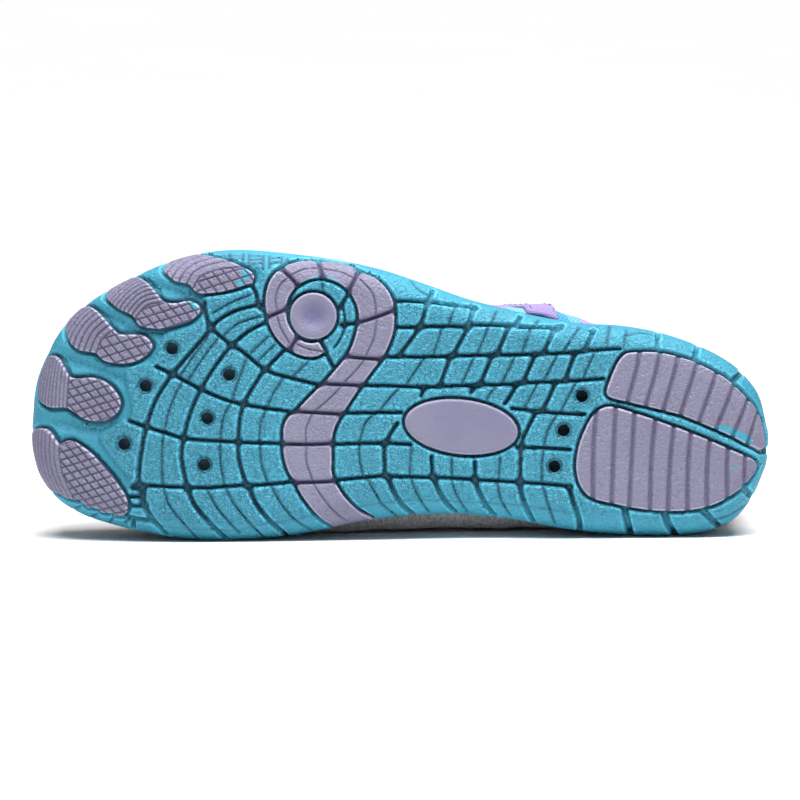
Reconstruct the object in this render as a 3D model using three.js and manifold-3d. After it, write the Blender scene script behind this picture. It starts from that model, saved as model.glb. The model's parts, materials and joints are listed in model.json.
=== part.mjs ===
// A low slip-on water shoe for the left foot, size EU 38, lying on its inner side as if set down to show its tread.
//
// The shoe is modelled upright in its own frame, in millimetres: x from the heel to the toe, y towards the outer
// side of the foot, z up from the ground. The last function lays it on its inner side, on the sole's edge and the
// upper, with the toe towards -X, the sole towards -Y and the outer side up.
//
// The sole is a moulded cup. Its tread is drawn flat and wrapped around the rounded edge, so that a groove runs on
// up the side. The lavender lugs and pads are pressed on their own and sit in pockets of the cup.
import * as THREE from "three";
import { mergeVertices } from "three/addons/utils/BufferGeometryUtils.js";
import { ConvexHull } from "three/addons/math/ConvexHull.js";
import Module from "manifold-3d";

const wasm = await Module();
wasm.setup();

// Sizes of the sole
const soleLength = 250;
const ballWidth = 98.7;
const heelWidth = 70.6;
const edgeRadius = 9;
const toeEdgeRadius = 11;
const toeSpring = 12;
const archRise = 2;
const heelBevel = 2.5;
const heelThickness = 11;
const ballThickness = 7.5;
const rimAtHeel = 25;
const rimAtWaist = 19.5;
const rimAtToe = 28;
const rimWall = 2.4;
const wallLean = 1.4;

// Sizes of the tread
const grooveWidth = 1.4;
const sideGrooveWidth = 1.9;
const separatorWidth = 1.1;
const grooveDepth = 1.8;
const pocketDepth = 2.4;
const lugMoat = 1.1;
const padMoat = 1.3;
const ribGrooveWidth = 1.3;
const ribGrooveDepth = 1.1;
const buttonRadius = 7.8;
const buttonDish = 1.2;
const drainRadius = 2;
const sideGrooveClimb = 6;
const cutterRise = 3;

// Sizes of the upper and what is joined to it
const upperWall = 1.6;
const instepHeight = 78;
const collarFrontHeight = 79;
const collarSideHeight = 58;
const collarBackHeight = 73;
const collarBandHeight = 11;
const collarBandProud = 0.5;
const bulgeHeight = 6;
const outerBulge = 3.8;
const innerBulge = 5;
const heelLean = 10;
const toeLean = 5;
const insoleThickness = 4;
const insolePlay = 0.75;
const strapThickness = 1;
const strapWidth = 11;
const strapEndsBelowBand = 3;
const throughTheFoot = 20;

// What lies on, or fits in, another piece keeps this far from it
const clearance = 0.3;
const lugSeat = 0.5;

const TEAL = "#3f9fb8";
const LAVENDER = "#a79fbd";
const SKY = "#6fcde6";
const LILAC = "#c3b2e2";

// Gives each row of a table its column names.
function table(columns, rows) {
  return rows.map((row) => Object.fromEntries(columns.map((name, i) => [name, row[i]])));
}

// The charts below are drawn on one grid. Its own length and its widths at the ball and the heel are those of the
// outline, the first of them; each point scales with the size that it lies near.
const OUTLINE = table(
  ["along", "outer", "inner"],
  [
    [0, 1, -7],
    [1.2, 6, -12],
    [4, 14.5, -19.5],
    [8.5, 20.3, -26.3],
    [15, 25.5, -31],
    [25, 30, -33.8],
    [38, 33.6, -35.1],
    [52, 35.3, -35.3],
    [66, 35.2, -34.9],
    [80, 36.4, -33.3],
    [92, 38.3, -32.4],
    [105, 40.7, -32.4],
    [120, 44.8, -34],
    [135, 48.6, -36.9],
    [150, 50.8, -41.2],
    [165, 51.8, -44.6],
    [180, 52.1, -46.6],
    [190, 51.2, -47.2],
    [200, 48.9, -46.9],
    [210, 45.2, -45.8],
    [220, 40.1, -44.2],
    [230, 33.8, -41.8],
    [238, 27, -38],
    [243.5, 19.2, -33],
    [247, 11, -27.5],
    [249.3, 3.5, -20],
    [250, -3, -13],
  ],
);
const CHART_LENGTH = OUTLINE.at(-1).along;
const BALL = { along: 180, begins: 150 };
const HEEL = { along: 52, ends: 70 };

function chartWidth({ along }) {
  const row = OUTLINE.find((entry) => entry.along === along);
  return row.outer - row.inner;
}

function ramp(from, to, value) {
  const share = THREE.MathUtils.clamp((value - from) / (to - from), 0, 1);
  return share * share * (3 - 2 * share);
}

function mix(a, b, share) {
  return a + (b - a) * share;
}

// A point of the charts as a point of the sole's plan.
function plan(along, across) {
  const toBall = ramp(HEEL.ends, BALL.begins, along);
  const scale = mix(heelWidth / chartWidth(HEEL), ballWidth / chartWidth(BALL), toBall);
  return new THREE.Vector2((along / CHART_LENGTH) * soleLength, across * scale);
}

const chartAlong = (x) => (x / soleLength) * CHART_LENGTH;

const LAST_ROW = OUTLINE.length - 1;

// A smooth curve through one column of a table, t counting its rows.
function column(rows, name, t) {
  const i = Math.min(Math.floor(t), rows.length - 2);
  const at = (k) => rows[THREE.MathUtils.clamp(k, 0, rows.length - 1)][name];
  const [a, b, c, d] = [at(i - 1), at(i), at(i + 1), at(i + 2)];
  const s = t - i;
  return 0.5 * (2 * b + (c - a) * s + (2 * a - 5 * b + 4 * c - d) * s * s + (3 * b - a - 3 * c + d) * s ** 3);
}

// One column at a distance along the shoe, on straight lines between the rows.
function columnAt(rows, name, along) {
  const last = rows.length - 1;
  const next = THREE.MathUtils.clamp(rows.findIndex((row) => row.along >= along), 1, last);
  const [a, b] = along > rows[last].along ? [rows[last], rows[last]] : [rows[next - 1], rows[next]];
  const share = b === a ? 0 : THREE.MathUtils.clamp((along - a.along) / (b.along - a.along), 0, 1);
  return mix(a[name], b[name], share * share * (3 - 2 * share));
}

// Points all round the sole's edge: the outer side from heel to toe, then the inner side back.
function edgeRing(steps) {
  const side = (name) => (t) => ({ t, side: name, point: plan(column(OUTLINE, "along", t), column(OUTLINE, name, t)) });
  const ring = [...steps.map(side("outer")), ...steps.toReversed().map(side("inner"))];
  ring.forEach((entry, i) => {
    const before = ring[(i + ring.length - 1) % ring.length].point;
    const after = ring[(i + 1) % ring.length].point;
    const way = after.clone().sub(before).normalize();
    entry.normal = new THREE.Vector2(-way.y, way.x);
  });
  return ring;
}

const everyRow = Array.from({ length: LAST_ROW + 1 }, (_, i) => i);
const finely = Array.from({ length: LAST_ROW * 4 + 1 }, (_, i) => i / 4);

// Height of the tread over the ground: bevelled at the heel, lifted at the arch and at the toe.
const PROFILE = { bevelEnds: 14, archBegins: 70, archEnds: 130, springBegins: 186 };
// Where the edge's radius, the footbed's thickness and the rim's height begin to change, and where they have changed.
const EDGE_CHANGE = { from: 200, to: 244 };
const FOOTBED_CHANGE = { from: 70, to: 140 };
const RIM_CHANGE = { from: 10, to: 95, rises: 170 };

function groundGap(x) {
  const along = chartAlong(x);
  const heel = Math.max(0, 1 - along / PROFILE.bevelEnds);
  const arch = THREE.MathUtils.clamp((along - PROFILE.archBegins) / (PROFILE.archEnds - PROFILE.archBegins), 0, 1);
  const toe = Math.max(0, (along - PROFILE.springBegins) / (CHART_LENGTH - PROFILE.springBegins));
  return heelBevel * heel ** 2 + archRise * Math.sin(arch * Math.PI) ** 2 + toeSpring * toe ** 1.8;
}

function roundingAt(x) {
  return mix(edgeRadius, toeEdgeRadius, ramp(EDGE_CHANGE.from, EDGE_CHANGE.to, chartAlong(x)));
}

function footbedHeight(x) {
  const change = ramp(FOOTBED_CHANGE.from, FOOTBED_CHANGE.to, chartAlong(x));
  return groundGap(x) + mix(heelThickness, ballThickness, change);
}

function rimHeight(x) {
  const along = chartAlong(x);
  const rear = mix(rimAtHeel, rimAtWaist, ramp(RIM_CHANGE.from, RIM_CHANGE.to, along));
  return rear + (rimAtToe - rimAtWaist) * ramp(RIM_CHANGE.rises, CHART_LENGTH, along);
}

// The line where the flat of the tread ends and its edge begins to turn up.
const flatLine = edgeRing(finely).map(({ point, normal }) => point.clone().addScaledVector(normal, -roundingAt(point.x)));

function nearestOnFlatLine(point) {
  let nearest = null;
  let inside = false;
  flatLine.forEach((a, i) => {
    const b = flatLine[(i + 1) % flatLine.length];
    const way = b.clone().sub(a);
    const share = THREE.MathUtils.clamp(point.clone().sub(a).dot(way) / way.lengthSq(), 0, 1);
    const foot = a.clone().addScaledVector(way, share);
    const distance = foot.distanceTo(point);
    if (!nearest || distance < nearest.distance) nearest = { foot, distance };
    if (a.y > point.y !== b.y > point.y && point.x < a.x + ((point.y - a.y) / way.y) * way.x) inside = !inside;
  });
  return { ...nearest, inside };
}

// A point seen from below is moved out to where it lies once the rounded edge is laid flat.
function layFlat(point) {
  const { foot, distance, inside } = nearestOnFlatLine(point);
  if (inside || distance < 1e-6) return point.clone();
  const radius = roundingAt(foot.x);
  const turned = radius * Math.asin(Math.min(distance / radius, 1)) + Math.max(distance - radius, 0);
  return foot.clone().addScaledVector(point.clone().sub(foot).normalize(), turned);
}

// A point of the flat drawing as a point of the sole's outer skin, raised or sunk along the skin's own normal.
function onSkin(point, lift) {
  const { foot, distance, inside } = nearestOnFlatLine(point);
  const slopeStep = 0.5;
  const at = inside ? point : foot;
  const slope = (groundGap(at.x + slopeStep) - groundGap(at.x - slopeStep)) / (2 * slopeStep);
  const down = new THREE.Vector3(slope, 0, -1).normalize();
  if (inside || distance < 1e-6) return new THREE.Vector3(point.x, point.y, groundGap(point.x)).addScaledVector(down, lift);
  const way = point.clone().sub(foot).normalize();
  const radius = roundingAt(foot.x);
  const angle = Math.min(distance / radius, Math.PI / 2);
  const climb = Math.max(0, distance - (radius * Math.PI) / 2);
  const outward = new THREE.Vector3(way.x, way.y, 0);
  const reach = radius * Math.sin(angle);
  const height = groundGap(foot.x) + radius * (1 - Math.cos(angle)) + climb;
  const normal = outward.clone().multiplyScalar(Math.sin(angle)).addScaledVector(down, Math.cos(angle));
  return new THREE.Vector3(foot.x + way.x * reach, foot.y + way.y * reach, height).addScaledVector(normal, lift);
}

// A closed mesh from quads of points; points that fall together are merged and collapsed faces dropped.
function geometryFrom(quads) {
  const position = quads.flatMap(([a, b, c, d]) => [a, b, c, a, c, d]).flatMap((p) => p.toArray());
  const loose = new THREE.BufferGeometry().setAttribute("position", new THREE.Float32BufferAttribute(position, 3));
  const merged = mergeVertices(loose, 1e-3);
  const corners = merged.index.array;
  const kept = [];
  for (let i = 0; i < corners.length; i += 3) {
    const [a, b, c] = corners.slice(i, i + 3);
    if (a !== b && b !== c && c !== a) kept.push(a, b, c);
  }
  return merged.setIndex(kept);
}

function solidFrom(geometry) {
  const vertProperties = geometry.attributes.position.array;
  return new wasm.Manifold(new wasm.Mesh({ numProp: 3, vertProperties, triVerts: new Uint32Array(geometry.index.array) }));
}

function geometryOf(solid) {
  const { vertProperties, triVerts } = solid.getMesh();
  const geometry = new THREE.BufferGeometry().setAttribute("position", new THREE.BufferAttribute(vertProperties, 3));
  return geometry.setIndex(new THREE.BufferAttribute(triVerts, 1));
}

// A closed mesh between two grids of points, as quads; both grids have the same rows and columns.
function slabBetween(under, over) {
  const rows = under.length - 1;
  const columns = under[0].length - 1;
  const quads = [];
  for (let r = 0; r < rows; r += 1) {
    for (let c = 0; c < columns; c += 1) {
      quads.push([under[r][c], under[r][c + 1], under[r + 1][c + 1], under[r + 1][c]]);
      quads.push([over[r][c], over[r + 1][c], over[r + 1][c + 1], over[r][c + 1]]);
    }
    quads.push([under[r + 1][0], over[r + 1][0], over[r][0], under[r][0]]);
    quads.push([under[r][columns], over[r][columns], over[r + 1][columns], under[r + 1][columns]]);
  }
  for (let c = 0; c < columns; c += 1) {
    quads.push([under[0][c], over[0][c], over[0][c + 1], under[0][c + 1]]);
    quads.push([under[rows][c + 1], over[rows][c + 1], over[rows][c], under[rows][c]]);
  }
  return quads;
}

// A solid from quads that face outwards, or all inwards.
function solidOf(quads) {
  const solid = solidFrom(geometryFrom(quads));
  return solid.volume() > 0 ? solid : solidFrom(geometryFrom(quads.map((quad) => quad.toReversed())));
}

// A patch is a ladder of rungs [one side, other side] in the sole's plan. It becomes a piece of the given depth.
function patchSolid(rungs, top, bottom, columns) {
  const across = Array.from({ length: columns + 1 }, (_, c) => c / columns);
  const flat = rungs.map(([a, b]) => {
    const [from, to] = [layFlat(a), layFlat(b)];
    return across.map((share) => from.clone().lerp(to, share));
  });
  const grid = (lift) => flat.map((row) => row.map((point) => onSkin(point, lift)));
  return solidOf(slabBetween(grid(bottom), grid(top)));
}

// The same ladder with its contour moved outwards, corners mitred, for the pocket around a piece.
function widened(rungs, margin) {
  const contour = [...rungs.map((rung) => rung[0]), ...rungs.toReversed().map((rung) => rung[1])];
  const turn = Math.sign(contour.reduce((sum, a, i) => sum + a.cross(contour[(i + 1) % contour.length]), 0));
  const outward = (from, to) => {
    const way = to.clone().sub(from).normalize();
    return new THREE.Vector2(way.y, -way.x).multiplyScalar(turn);
  };
  const moved = contour.map((point, i) => {
    const before = outward(contour[(i + contour.length - 1) % contour.length], point);
    const after = outward(point, contour[(i + 1) % contour.length]);
    const mitre = before.clone().add(after).divideScalar(Math.max(1 + before.dot(after), 0.5));
    return point.clone().addScaledVector(mitre, margin);
  });
  return rungs.map((_, i) => [moved[i], moved[contour.length - 1 - i]]);
}

// A groove follows a path in the plan; its rungs lie closer together where the skin bends.
const bendStep = 7;
const flatStep = 16;

function grooveCutter(path, width, depth) {
  const flat = path.map(layFlat);
  const dense = [flat[0]];
  for (let i = 1; i < flat.length; i += 1) {
    const from = flat[i - 1];
    const bends = !nearestOnFlatLine(flat[i]).inside || chartAlong(flat[i].x) > PROFILE.springBegins;
    const steps = Math.max(1, Math.round(from.distanceTo(flat[i]) / (bends ? bendStep : flatStep)));
    for (let k = 1; k <= steps; k += 1) dense.push(from.clone().lerp(flat[i], k / steps));
  }
  const grid = (lift) =>
    dense.map((point, i) => {
      const way = dense[Math.min(i + 1, dense.length - 1)].clone().sub(dense[Math.max(i - 1, 0)]).normalize();
      const aside = new THREE.Vector2(-way.y, way.x).multiplyScalar(width / 2);
      return [onSkin(point.clone().sub(aside), lift), onSkin(point.clone().add(aside), lift)];
    });
  return solidOf(slabBetween(grid(-depth), grid(cutterRise)));
}

// The toe lugs, from the big toe to the little toe: a row for each rung, from its tip back.
const LUG_COLUMNS = ["along", "outer", "inner"];
const TOE_LUGS = [
  [
    [249.4, -14.5, -19],
    [248.3, -13, -24.5],
    [246.3, -13.2, -29.5],
    [243.5, -15, -33.2],
    [241, -17.5, -34.8],
    [238.5, -16.4, -35.6],
    [235.5, -16.2, -36.8],
    [231.5, -18, -38.2],
    [227.5, -20.8, -39.6],
    [223.5, -24, -40.6],
    [219.8, -27.8, -41.1],
    [217, -31.5, -40.4],
    [215.3, -35.2, -38.4],
  ],
  [
    [249.4, 0.5, -1.8],
    [248.2, 6, -3.8],
    [246.2, 11, -5],
    [244.2, 12, -5.5],
    [241.3, 9, -5.6],
    [238.6, 5, -5.6],
    [235, 5, -7.8],
    [231, 5.2, -9.2],
    [227, 4.5, -9.4],
    [223.5, 2.3, -8.3],
    [221, -1, -5.8],
  ],
  [
    [241.2, 21.8, 20],
    [240, 24.2, 17.9],
    [237.8, 27, 15.7],
    [235.3, 29.2, 14.5],
    [232.5, 29.4, 14.3],
    [229.2, 26.4, 13.6],
    [226, 23, 11],
    [222.5, 20.4, 10.5],
    [218.5, 20.5, 10.9],
    [214.5, 20.4, 12.7],
    [211.6, 18.7, 16],
  ],
  [
    [228.4, 34.8, 33.4],
    [226, 37, 31.5],
    [222.5, 39, 29.3],
    [219, 40.5, 28.2],
    [216, 40.4, 26.4],
    [213.2, 37.8, 23.7],
    [210, 34.2, 23.4],
    [206.5, 32.6, 24.1],
    [202.5, 33, 25.1],
    [198.5, 33, 26.5],
    [195.7, 31.6, 29.2],
  ],
  [
    [209.4, 44.8, 43.4],
    [206.5, 46.4, 40.6],
    [202.8, 47.9, 39.4],
    [198.8, 49.1, 38.8],
    [195.8, 49.4, 36.1],
    [191.8, 49.2, 36.4],
    [187.5, 48.6, 37.5],
    [183.5, 47.3, 38.7],
    [180.3, 45.8, 40],
    [178.2, 44, 41.8],
  ],
];

const HEEL_PADS = {
  outer: [
    [56, 15, 12],
    [54.6, 19, 10.4],
    [52.2, 24.8, 10.1],
    [48, 26.9, 9.7],
    [40, 27.6, 8],
    [32, 26.9, 6],
    [24, 24.6, 3.8],
    [17, 21.4, 1.6],
    [11, 17.5, -0.6],
    [6, 12.4, -2.6],
    [2.8, 7, -3.6],
    [1.4, 1, -2.6],
  ],
  inner: [
    [64.8, -11, -14],
    [63.6, -5, -18.8],
    [61.5, 1.5, -21.6],
    [58.5, 6.2, -23.6],
    [54, 7.7, -24.9],
    [46, 6.1, -26.1],
    [38, 3.7, -26.6],
    [30, 1.4, -26.1],
    [22, -0.8, -24.6],
    [15, -3.2, -21.9],
    [9, -5.6, -17.6],
    [5, -7.3, -13.2],
    [3, -9, -10.6],
  ],
};
// Grooves between the ribs of a heel pad: where they cross its two long sides.
const PAD_RIBS = {
  outer: table(
    ["outerAt", "outer", "innerAt", "inner"],
    [
      [45.6, 29, 49.2, 8],
      [38.8, 29, 43.2, 6],
      [32, 28.5, 37, 4.5],
      [25.2, 26.5, 30.8, 3],
      [18.8, 24, 24.6, 1.5],
      [12.8, 20.5, 18.6, 0],
      [7.2, 16, 12.4, -2],
    ],
  ),
  inner: table(
    ["outerAt", "outer", "innerAt", "inner"],
    [
      [58, 8, 58.2, -25],
      [51.2, 9, 51.8, -27],
      [44.6, 7.5, 45.2, -28],
      [38.2, 5.5, 38.8, -28],
      [31.8, 3.5, 32.4, -28],
      [25.4, 2, 26, -27],
      [19.2, 0, 19.6, -25.5],
      [13.2, -2, 13, -23],
    ],
  ),
};

// The ring round the button and the band that leaves it: outer and inner side of each rung, from the ring's tail.
const RING_AND_BAND = table(
  ["outerAt", "outer", "innerAt", "inner"],
  [
    [152.6, 19.6, 154.2, 22.5],
    [156.5, 17.6, 156.6, 22.2],
    [161.5, 17.8, 160, 22.7],
    [166.5, 20.4, 163.3, 24.9],
    [170.6, 25, 165.6, 28.9],
    [173, 31, 166, 33.2],
    [173.6, 37.5, 164.8, 36.9],
    [171.7, 43.2, 162.5, 40.6],
    [167.6, 47.2, 160, 42.7],
    [162, 49.6, 156.8, 43.9],
    [155.5, 50.3, 153, 43.9],
    [148.8, 50, 149.2, 43],
    [142.3, 48.2, 145.8, 41.2],
    [136.6, 45.4, 143.6, 38.2],
    [132.2, 40.8, 142.3, 34.4],
    [130, 35, 141.8, 30],
    [129.8, 29, 142.3, 25.6],
    [131.2, 22.8, 144, 20.4],
    [134.2, 17, 147, 16],
    [138, 10.8, 151, 11],
    [141.8, 5, 156, 6],
    [145.2, -0.8, 160.4, 0],
    [147.1, -6.5, 163.8, -5.4],
    [147.8, -12, 164.5, -11.5],
    [147.1, -18.5, 163.2, -18.2],
    [145.2, -24.8, 160, -24.4],
    [141.5, -29.8, 155.8, -30.2],
    [137, -33.4, 151, -35.8],
    [134, -35.2, 146.8, -38.9],
  ],
);
// Grooves across the ring and the band, between their blocks.
const SEPARATORS = table(
  ["outerAt", "outer", "innerAt", "inner"],
  [
    [164.8, 17.6, 161.2, 24],
    [175, 29.7, 164.6, 31.9],
    [171, 46.6, 161.2, 39.6],
    [156.7, 51.5, 154, 42.6],
    [141.6, 49.6, 145.6, 39.6],
    [128.4, 35.8, 143.4, 29.4],
    [131, 18.6, 147, 18.6],
    [136.6, 8.9, 155, 8.7],
    [143, -0.9, 163.5, -1.6],
    [145.5, -11.4, 166.5, -12.4],
    [144, -23.4, 163, -25.6],
  ],
);
const BUTTON = { along: 156.9, across: 31.3 };
const OVAL = { along: 104.4, across: -2.8, halfLength: 19.2, halfWidth: 9.1 };
const OVAL_SHARES = [-1, -0.94, -0.8, -0.55, -0.2, 0.2, 0.55, 0.8, 0.94, 1];
const DRAINS = table(
  ["along", "across"],
  [
    [218.2, -16.5],
    [212.2, 3.7],
    [204, 17],
    [190.3, -5.7],
    [184, 9.5],
    [190.5, -21.5],
    [64, 10.3],
    [69.7, -1.5],
    [71.8, -14],
  ],
);

// The lengthwise grooves: how far across each one lies at each station. They are counted from the arch outwards.
const LENGTHWISE = table(
  ["along", "first", "second", "third", "fourth", "fifth", "sixth"],
  [
    [218, , -9, , , , ,],
    [212, -30.2, , 12, , , ,],
    [204, , -12.1, 8.8, , , ,],
    [192, -29.7, -13.8, 3.3, 25.5, , ,],
    [183, , , , 18.7, , ,],
    [176, -27.8, -13.8, -0.3, 13.8, , ,],
    [158, -25, -12.4, -1.4, 8.8, , ,],
    [144, -23.7, , , 9.3, , ,],
    [130, -21.8, -10.2, 0.5, 10.3, 19.1, 29.2],
    [120, , -9.9, , , , 30.2],
    [110, -20.6, , , 11.7, 20.9, ,],
    [101, , , , , , 31.9],
    [90, -20.5, , , 13.2, 23.2, 32.7,],
    [80, , -8.3, 4.6, , , 33,],
    [72, , , , 15.3, 25, 33.2,],
    [65, -20.3, -7.7, 4.9, , , ,],
    [57, , , , 17.3, 27.3, ,],
  ],
);
// The station at which a lengthwise groove stops, to start again behind the oval plate.
const BREAKS = { second: 120, third: 130 };

// The crosswise grooves, from one lengthwise groove or edge to the next; bow moves the middle towards the toe.
const CROSSWISE = table(
  ["innerAt", "inner", "outerAt", "outer", "bow"],
  [
    [212.2, -30, 211.2, -10, 0.6],
    [197.4, -30, 198.2, -13.5, 1],
    [176.6, -27.8, 179.3, -13.9, 0.6],
    [211, -10, 204.8, 9, 0.8],
    [198.2, -13.5, 193.8, 4, 0.8],
    [179.3, -13.9, 178.2, 0, 0.4],
    [204.6, 9, 191.6, 25.2, 0.8],
    [193.6, 4, 184, 19.2, 0.8],
    [178.2, 0, 172.2, 12.1, 0.8],
    [191, 25, 175.6, 33.6, 3.2],
    [183.6, 19, 173.6, 27, 1.6],
    [172, 12.2, 168.6, 18.8, 0.6],
    [129, -21.6, 129.9, -10.2, 0.4],
    [113, -20.7, 113.6, -13.2, 0],
    [98.3, -20.5, 99, -14.2, 0],
    [83.2, -20.4, 83.6, -8.6, 0.2],
    [83.5, -8.6, 79.2, 4.7, 0.6],
    [90.2, 5.8, 87.2, 13.5, 0],
    [79, 4.7, 73, 15.2, 0.5],
    [114.2, 11.4, 109.4, 21, 0.4],
    [100, 12.4, 95.4, 22.7, 0.4],
    [85.2, 13.8, 80.2, 24, 0.4],
    [71, 15.4, 66, 26, 0.4],
    [126.6, 19.6, 119.6, 30.2, 0.4],
    [108.4, 21.2, 104.4, 31.5, 0.4],
    [94.4, 23, 90.4, 32.7, 0.4],
    [79.2, 24.2, 74.6, 33, 0.4],
  ],
);

// Grooves that run over the edge and up the side: where they begin, and where they cross the edge.
const OVER_THE_EDGE = table(
  ["beginAt", "begin", "edgeAt", "bow"],
  [
    [211.4, -31, 201.5, 3],
    [196.4, -30.8, 180.5, 3.4],
    [175.4, -28.6, 159.5, 3.2],
    [127.4, -22.4, 117.8, 2.2],
    [112.4, -21.4, 103, 2],
    [97.6, -21.2, 90, 1.6],
    [83, -21, 76, 1.6],
    [65.8, -21, 61.4, 0.8],
    [47.6, -27.6, 45, 0.4],
    [33.8, -27.6, 28.6, 0.6],
    [20.2, -25.2, 14.2, 0.4],
    [117.2, 39.2, 116, 0],
    [101.8, 39, 101, 0],
    [65, 26.6, 60, 0.6],
    [53, 28.4, 52.2, -0.8],
  ],
);

const ladder = (rows) => table(LUG_COLUMNS, rows).map((row) => [plan(row.along, row.outer), plan(row.along, row.inner)]);
const pair = (row) => [plan(row.outerAt, row.outer), plan(row.innerAt, row.inner)];
const lugRungs = TOE_LUGS.map(ladder);
const padRungs = { outer: ladder(HEEL_PADS.outer), inner: ladder(HEEL_PADS.inner) };
const bandRungs = RING_AND_BAND.map(pair);
const ovalRungs = OVAL_SHARES.map((share) => {
  const reach = OVAL.halfWidth * Math.sqrt(Math.max(1 - share * share, 0.004));
  const along = OVAL.along + OVAL.halfLength * share;
  return [plan(along, OVAL.across + reach), plan(along, OVAL.across - reach)];
});

function discRungs(radius) {
  const centre = plan(BUTTON.along, BUTTON.across);
  const turns = [-1, -0.92, -0.7, -0.38, 0, 0.38, 0.7, 0.92, 1];
  return turns.map((share) => {
    const reach = radius * Math.sqrt(Math.max(1 - share * share, 0.01));
    return [centre.clone().add({ x: radius * share, y: reach }), centre.clone().add({ x: radius * share, y: -reach })];
  });
}

// The lengthwise grooves as paths; a groove with a break gives two.
function lengthwisePaths() {
  const names = Object.keys(LENGTHWISE[0]).filter((name) => name !== "along");
  return names.flatMap((name) => {
    const rows = LENGTHWISE.filter((row) => row[name] !== undefined);
    const stop = BREAKS[name] ?? 0;
    const runs = [rows.filter((row) => row.along >= stop), rows.filter((row) => row.along < stop)];
    return runs.filter((run) => run.length > 1).map((run) => run.map((row) => plan(row.along, row[name])));
  });
}

function bowed(from, to, bow) {
  const middle = from.clone().lerp(to, 0.5).add({ x: (bow / CHART_LENGTH) * soleLength, y: 0 });
  return Math.abs(bow) < 0.9 ? [from, to] : [from, middle, to];
}

// The point of the sole's edge on one side at a station, and the way out from it.
const edge = edgeRing(finely);
function edgeAt(along, side) {
  const x = (along / CHART_LENGTH) * soleLength;
  const there = edge.filter((entry) => entry.side === side);
  return there.reduce((best, entry) => (Math.abs(entry.point.x - x) < Math.abs(best.point.x - x) ? entry : best));
}

function overTheEdge(row) {
  const from = plan(row.beginAt, row.begin);
  const { point, normal } = edgeAt(row.edgeAt, row.begin > 0 ? "outer" : "inner");
  return [...bowed(from, point, row.bow), point.clone().addScaledVector(normal, sideGrooveClimb)];
}

// The two flat faces inside a ring of points: one quad for each pair of rows.
function rungsAcross(ring, downwards) {
  const rows = ring.length / 2;
  return Array.from({ length: rows - 1 }, (_, i) => {
    const quad = [ring[i], ring[i + 1], ring[ring.length - 2 - i], ring[ring.length - 1 - i]];
    return downwards ? quad : quad.toReversed();
  });
}

function ringsJoined(rings) {
  return rings.slice(1).flatMap((upper, k) =>
    upper.map((point, i) => {
      const next = (i + 1) % upper.length;
      return [rings[k][i], rings[k][next], upper[next], point];
    }),
  );
}

// The moulded cup before its tread is cut: rounded edge, side wall, rim and footbed.
function cupBlank() {
  const ring = edgeRing(everyRow.concat([12.5, 23.5]).sort((a, b) => a - b));
  const turn = [0, 30, 60, 90].map(THREE.MathUtils.degToRad);
  const rounded = turn.map((angle) =>
    ring.map(({ point, normal }) => {
      const radius = roundingAt(point.x);
      const at = point.clone().addScaledVector(normal, radius * (Math.sin(angle) - 1));
      const foot = point.clone().addScaledVector(normal, -radius);
      return new THREE.Vector3(at.x, at.y, groundGap(foot.x) + radius * (1 - Math.cos(angle)));
    }),
  );
  const rise = (inset, height) =>
    ring.map(({ point, normal }) => {
      const at = point.clone().addScaledVector(normal, -inset);
      return new THREE.Vector3(at.x, at.y, height(point.x));
    });
  const inner = rimWall + wallLean;
  const rings = [...rounded, rise(wallLean, rimHeight), rise(inner, rimHeight), rise(inner, footbedHeight)];
  const faces = [...rungsAcross(rings[0], false), ...ringsJoined(rings), ...rungsAcross(rings.at(-1), true)];
  return solidOf(faces);
}

function drainCutter({ along, across }) {
  const centre = plan(along, across);
  const through = groundGap(centre.x) + heelThickness + ballThickness;
  const drill = new THREE.CylinderGeometry(drainRadius, drainRadius, 2 * through, 8).rotateX(Math.PI / 2);
  drill.translate(centre.x, centre.y, 0).deleteAttribute("normal").deleteAttribute("uv");
  return solidFrom(mergeVertices(drill, 1e-3));
}

function outsole() {
  const pocket = (rungs, columns) => patchSolid(rungs, cutterRise, -pocketDepth, columns);
  const pockets = [
    ...lugRungs.map((rungs) => pocket(widened(rungs, lugMoat), 2)),
    ...Object.values(padRungs).map((rungs) => pocket(widened(rungs, padMoat), 2)),
    pocket(widened(bandRungs, lugMoat), 3),
    pocket(widened(ovalRungs, lugMoat), 1),
    pocket(discRungs(buttonRadius + lugMoat), 1),
  ];
  const grooves = [
    ...lengthwisePaths(),
    ...CROSSWISE.map((row) => bowed(plan(row.innerAt, row.inner), plan(row.outerAt, row.outer), row.bow)),
  ].map((path) => grooveCutter(path, grooveWidth, grooveDepth));
  const sideGrooves = OVER_THE_EDGE.map((row) => grooveCutter(overTheEdge(row), sideGrooveWidth, grooveDepth));
  const cutters = [...pockets, ...grooves, ...sideGrooves, ...DRAINS.map(drainCutter)];
  return cutters.reduce((body, cutter) => body.subtract(cutter), cupBlank());
}

// A lug, pad or plate that fills its pocket up to the tread.
function inlay(rungs, columns) {
  return patchSolid(rungs, 0, lugSeat - pocketDepth, columns);
}

function heelPad(side) {
  const ribs = PAD_RIBS[side].map((row) => grooveCutter(pair(row), ribGrooveWidth, ribGrooveDepth));
  return ribs.reduce((body, cutter) => body.subtract(cutter), inlay(padRungs[side], 2));
}

function ringAndBand() {
  const cuts = SEPARATORS.map((row) => grooveCutter(bowed(...pair(row), 0), separatorWidth, ribGrooveDepth));
  return cuts.reduce((body, cutter) => body.subtract(cutter), inlay(bandRungs, 3));
}

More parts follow.
